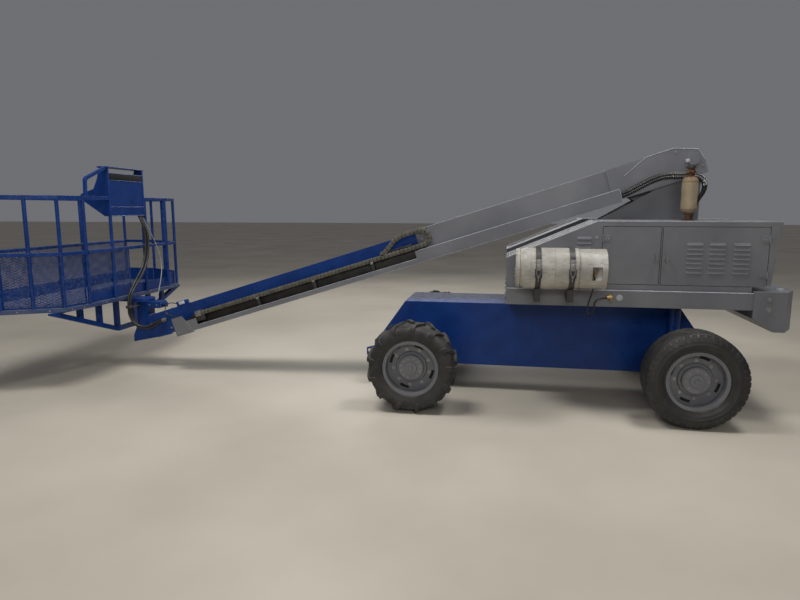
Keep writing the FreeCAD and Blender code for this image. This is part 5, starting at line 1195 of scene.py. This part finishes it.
# Screens
# Expanded-metal screens inside the rails, blue like the rest, each in a thin flat frame.
# They're full height at the near end and stand on the toe boards in front and behind.
MESH_DEPTH = 0.0338
DIAMOND_LONG, DIAMOND_SHORT = 0.046, 0.023
STRAND, STRAND_THICK = 0.0056, 0.0020
FRAME_HIGH, FRAME_WIDE, FRAME_THICK = 0.018, 0.016, 0.0030
MESH_TOP = 1.254

inner = []
for k, here in enumerate(corners):
    side_before = along_and_inward(corners[k - 1], here)[1]
    side_after = along_and_inward(here, corners[(k + 1) % len(corners)])[1]
    inner.append(here + MESH_DEPTH * (side_before + side_after) / (1 + side_before.dot(side_after)))
# Columns: the panel's first and second end, its lower edge.
panels = [(inner[k], inner[k + 1], 0.7605) for k in (0, 1, 2)] + [(inner[3], inner[4], 0.861)]
panels.append((*(Vector((PLATFORM_REAR - MESH_DEPTH, y, 0)) for y in (0, -0.648)), 0.861))
screens, frames = [], bmesh.new()
for first, second, low in panels:
    ahead, inward = along_and_inward(first, second)
    first, second = first + ahead * 0.006, second - ahead * 0.006
    long, tall = (second - first).length, MESH_TOP - low
    wide_count, high_count = round(long / DIAMOND_LONG), round(tall / DIAMOND_SHORT)
    step_x, step_z = long / wide_count, tall / high_count
    bm = bmesh.new()
    for start, end in ((Vector(), ahead * step_x + UP * step_z), (UP * step_z, ahead * step_x)):
        wide = (end - start).normalized().cross(-inward) * STRAND / 2
        thick = -inward * STRAND_THICK / 2
        cover(bm, [
            [bm.verts.new(p + wide * a + thick * b) for a, b in ((-1, -1), (1, -1), (1, 1), (-1, 1))]
            for p in (start, end)])
    row = repeated(as_mesh(bm, "diamond"), rail_paint, wide_count, step=ahead * step_x)
    screens.append(repeated(row, rail_paint, high_count, (first.x, first.y, low), (0, 0, step_z)))
    strip = -inward * FRAME_THICK
    # Columns: the strip's two ends, its lower and upper edge.
    for a, b, z0, z1 in (
            (first, second, low, low + FRAME_HIGH), (first, second, MESH_TOP - FRAME_HIGH, MESH_TOP),
            (first, first + ahead * FRAME_WIDE, low, MESH_TOP),
            (second, second - ahead * FRAME_WIDE, low, MESH_TOP)):
        sheet_metal(frames, [p - strip / 2 + UP * z for p, z in ((a, z0), (b, z0), (b, z1), (a, z1))], strip, 0)
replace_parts(piece("expanded_metal", "platform", "blue_paint", rail_paint, *screens), "mesh_panels")
piece("screen_frames", "platform", "blue_paint", rail_paint, frames)

# Console
# The operator's sheet-metal box over the rear rail, open in front, with a dark plate of painted shade for the
# slot under its canopy, a black panel with a lever, toggles, lamps and a red stop button.
CONSOLE_NEAR, CONSOLE_FAR = -0.310, 0.262
CONSOLE_LOW, CONSOLE_HIGH = 1.570, 2.042
PANEL_LEVEL = 1.832
TOGGLES, TOGGLE_PITCH = 6, 0.038
SIGNAL_LAMPS, SIGNAL_PITCH = 4, 0.030

dress(blue_enamel, "console_box")
panel_black = coat("panel_black", (0.012, 0.012, 0.013, 1), (0.028, 0.028, 0.029, 1), 0.42, dust=0.3, edge_wear_and_highlight=0.4,
                   edge_wear_and_highlight_colour=(0.15, 0.15, 0.15, 1), scale=20.0)
dress(panel_black, "control_panel")
# A dark plate on the console's back: painted shade of the slot under the canopy.
bm = bmesh.new()
block(bm, (PLATFORM_REAR - 0.002, CONSOLE_NEAR + 0.022, CONSOLE_HIGH - 0.118),
      (PLATFORM_REAR + 0.0025, CONSOLE_FAR - 0.022, CONSOLE_HIGH - 0.062), 0.001)
piece("console_slot", "platform", "panel_dark", hole_shadow, bm)
bm = bmesh.new()
x = PLATFORM_REAR + 0.001
for y in (CONSOLE_NEAR + 0.006, CONSOLE_FAR - 0.006):
    rod(bm, (x, y, CONSOLE_LOW + 0.002), (x, y, CONSOLE_HIGH - 0.008), 0.007, 12)
for z in (CONSOLE_LOW + 0.004, CONSOLE_LOW + 0.090, CONSOLE_HIGH - 0.056, CONSOLE_HIGH - 0.122):
    rod(bm, (PLATFORM_REAR, CONSOLE_NEAR + 0.01, z), (PLATFORM_REAR, CONSOLE_FAR - 0.01, z), 0.0035, 8)
x, z = PLATFORM_REAR + 0.005, CONSOLE_HIGH + 0.002
rod(bm, (x, CONSOLE_NEAR - 0.016, z), (x, CONSOLE_FAR + 0.016, z), 0.006, 12)
piece("console_folds", "platform", "blue_paint", rail_paint, bm)
toggles, red, amber = bmesh.new(), bmesh.new(), bmesh.new()
for k in range(TOGGLES):
    toggle = Vector((PLATFORM_REAR - 0.145, CONSOLE_NEAR + 0.050 + TOGGLE_PITCH * k, PANEL_LEVEL))
    rod(toggles, toggle - UP * 0.001, toggle + UP * 0.004, 0.008, 6)
    rod(toggles, toggle + UP * 0.002, toggle + Vector((-0.004, 0, 0.020)), 0.0022, 8, 0.0032)
for k in range(SIGNAL_LAMPS):
    lamp = Vector((PLATFORM_REAR - 0.075, CONSOLE_NEAR + 0.320 + SIGNAL_PITCH * k, PANEL_LEVEL))
    rod(amber, lamp - UP * 0.001, lamp + UP * 0.006, 0.006, 16, 0.004)
stop = Vector((PLATFORM_REAR - 0.140, CONSOLE_FAR - 0.055, PANEL_LEVEL))
rod(toggles, stop, stop + UP * 0.012, 0.012, 20)
rod(red, stop + UP * 0.011, stop + UP * 0.024, 0.019, 28, 0.016)
stop_red = coat("stop_red", (0.40, 0.012, 0.010, 1), (0.48, 0.020, 0.014, 1), 0.35, dust=0.2, edge=0.001)
lamp_amber = coat("lamp_amber", (0.45, 0.20, 0.02, 1), (0.55, 0.27, 0.04, 1), 0.25, edge=0.001)
steel_piece("console_toggles", "platform", toggles)
piece("stop_button", "platform", "panel_dark", stop_red, red)
piece("console_lamps", "platform", "panel_dark", lamp_amber, amber)

# Platform hoses
# Black hoses and a thin gray cable that leave the console's underside, hang down behind the rear screen to the
# clamp on the rotator's post, and swing in an open loop below the knuckle into the boom's end.
PLATFORM_TO_POST = ("platform", "level_link", (-2.52, -0.10, 0.980), (-2.50, -0.20, 0.700))
POST_TO_FLY = ("level_link", "fly_boom", (-2.500, -0.19, 0.600), (-2.260, -0.15, 0.500))
CABLE_RADIUS = 0.0045
# Columns: how far the hose lies to the near side of the first, and how far behind it.
FOLLOWERS = [(0.0, 0.0), (0.024, 0.004), (0.006, 0.025)]

for number, (side, back) in enumerate(FOLLOWERS):
    lean = 0.010 * number
    hose("console_hose_%d" % number, PLATFORM_TO_POST, hose_black, [
        (-2.580, 0.205 - side, 1.566), (-2.552 + back * 0.3, 0.212 - side, 1.490),
        (-2.532 + back, 0.218 - side, 1.380), (-2.526 + back, 0.205 - side, 1.260),
        (-2.520 + back, 0.160 - side, 1.130 - lean), (-2.512 + back, 0.080 - side, 1.020 - lean),
        (-2.508 + back, -0.030 - side, 0.930 - lean), (-2.508 + back * 0.7, -0.130 - side * 0.5, 0.840 - lean),
        (-2.506 + back * 0.5, -0.180 - side, 0.760), (-2.506 + back * 0.5, -0.188 - side, 0.672)],
        PLATFORM_HOSE_RADIUS, 12, 7)
    hose("loop_hose_%d" % number, POST_TO_FLY, hose_black, [
        (-2.506 + back * 0.5, -0.188 - side, 0.652), (-2.507 + back * 0.5, -0.190 - side, 0.600),
        (-2.502 + back, -0.188 - side, 0.540 + side), (-2.478 + back, -0.182 - side, 0.480 + side),
        (-2.430 + back, -0.172 - side, 0.438 + side), (-2.365 + back, -0.160 - side, 0.424 + side),
        (-2.300 + back, -0.148 - side * 0.6, 0.440 + side),
        (-2.240 + back * 0.5, -0.134 - side * 0.3, 0.475 + side), (-2.185, -0.126, 0.508 + side * 0.6)],
        PLATFORM_HOSE_RADIUS, 12, 7)
glands, inlets = bmesh.new(), bmesh.new()
# Columns: place along and across the machine, radius of the hose or cable.
for x, y, radius in (
        (-2.580, 0.205, PLATFORM_HOSE_RADIUS), (-2.580, 0.181, PLATFORM_HOSE_RADIUS),
        (-2.580, 0.199, PLATFORM_HOSE_RADIUS), (-2.575, 0.238, CABLE_RADIUS)):
    rod(glands, (x, y, 1.572), (x + 0.004, y, 1.548), radius + 0.0045, 16, radius + 0.001)
piece("hose_glands", "platform", "panel_dark", strap_black, glands)
for side, _ in FOLLOWERS:
    rod(inlets, (-2.150, -0.118, 0.514 + side * 0.6), (-2.192, -0.128, 0.504 + side * 0.6), 0.0145, 6)
steel_piece("hose_inlets", "fly_boom", inlets)
cable_gray = coat("cable_gray", (0.25, 0.25, 0.26, 1), (0.34, 0.34, 0.34, 1), 0.5, dust=0.2, edge=0.001)
hose("sensor_cable", ("platform", "level_link", (-2.50, 0.10, 0.95), (-2.36, 0.05, 0.72)), cable_gray, [
    (-2.575, 0.238, 1.566), (-2.548, 0.250, 1.480), (-2.530, 0.300, 1.380), (-2.505, 0.360, 1.240),
    (-2.480, 0.380, 1.110), (-2.455, 0.350, 0.980), (-2.430, 0.270, 0.860), (-2.400, 0.170, 0.760),
    (-2.370, 0.100, 0.705)], CABLE_RADIUS, 10, 7)

low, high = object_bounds()
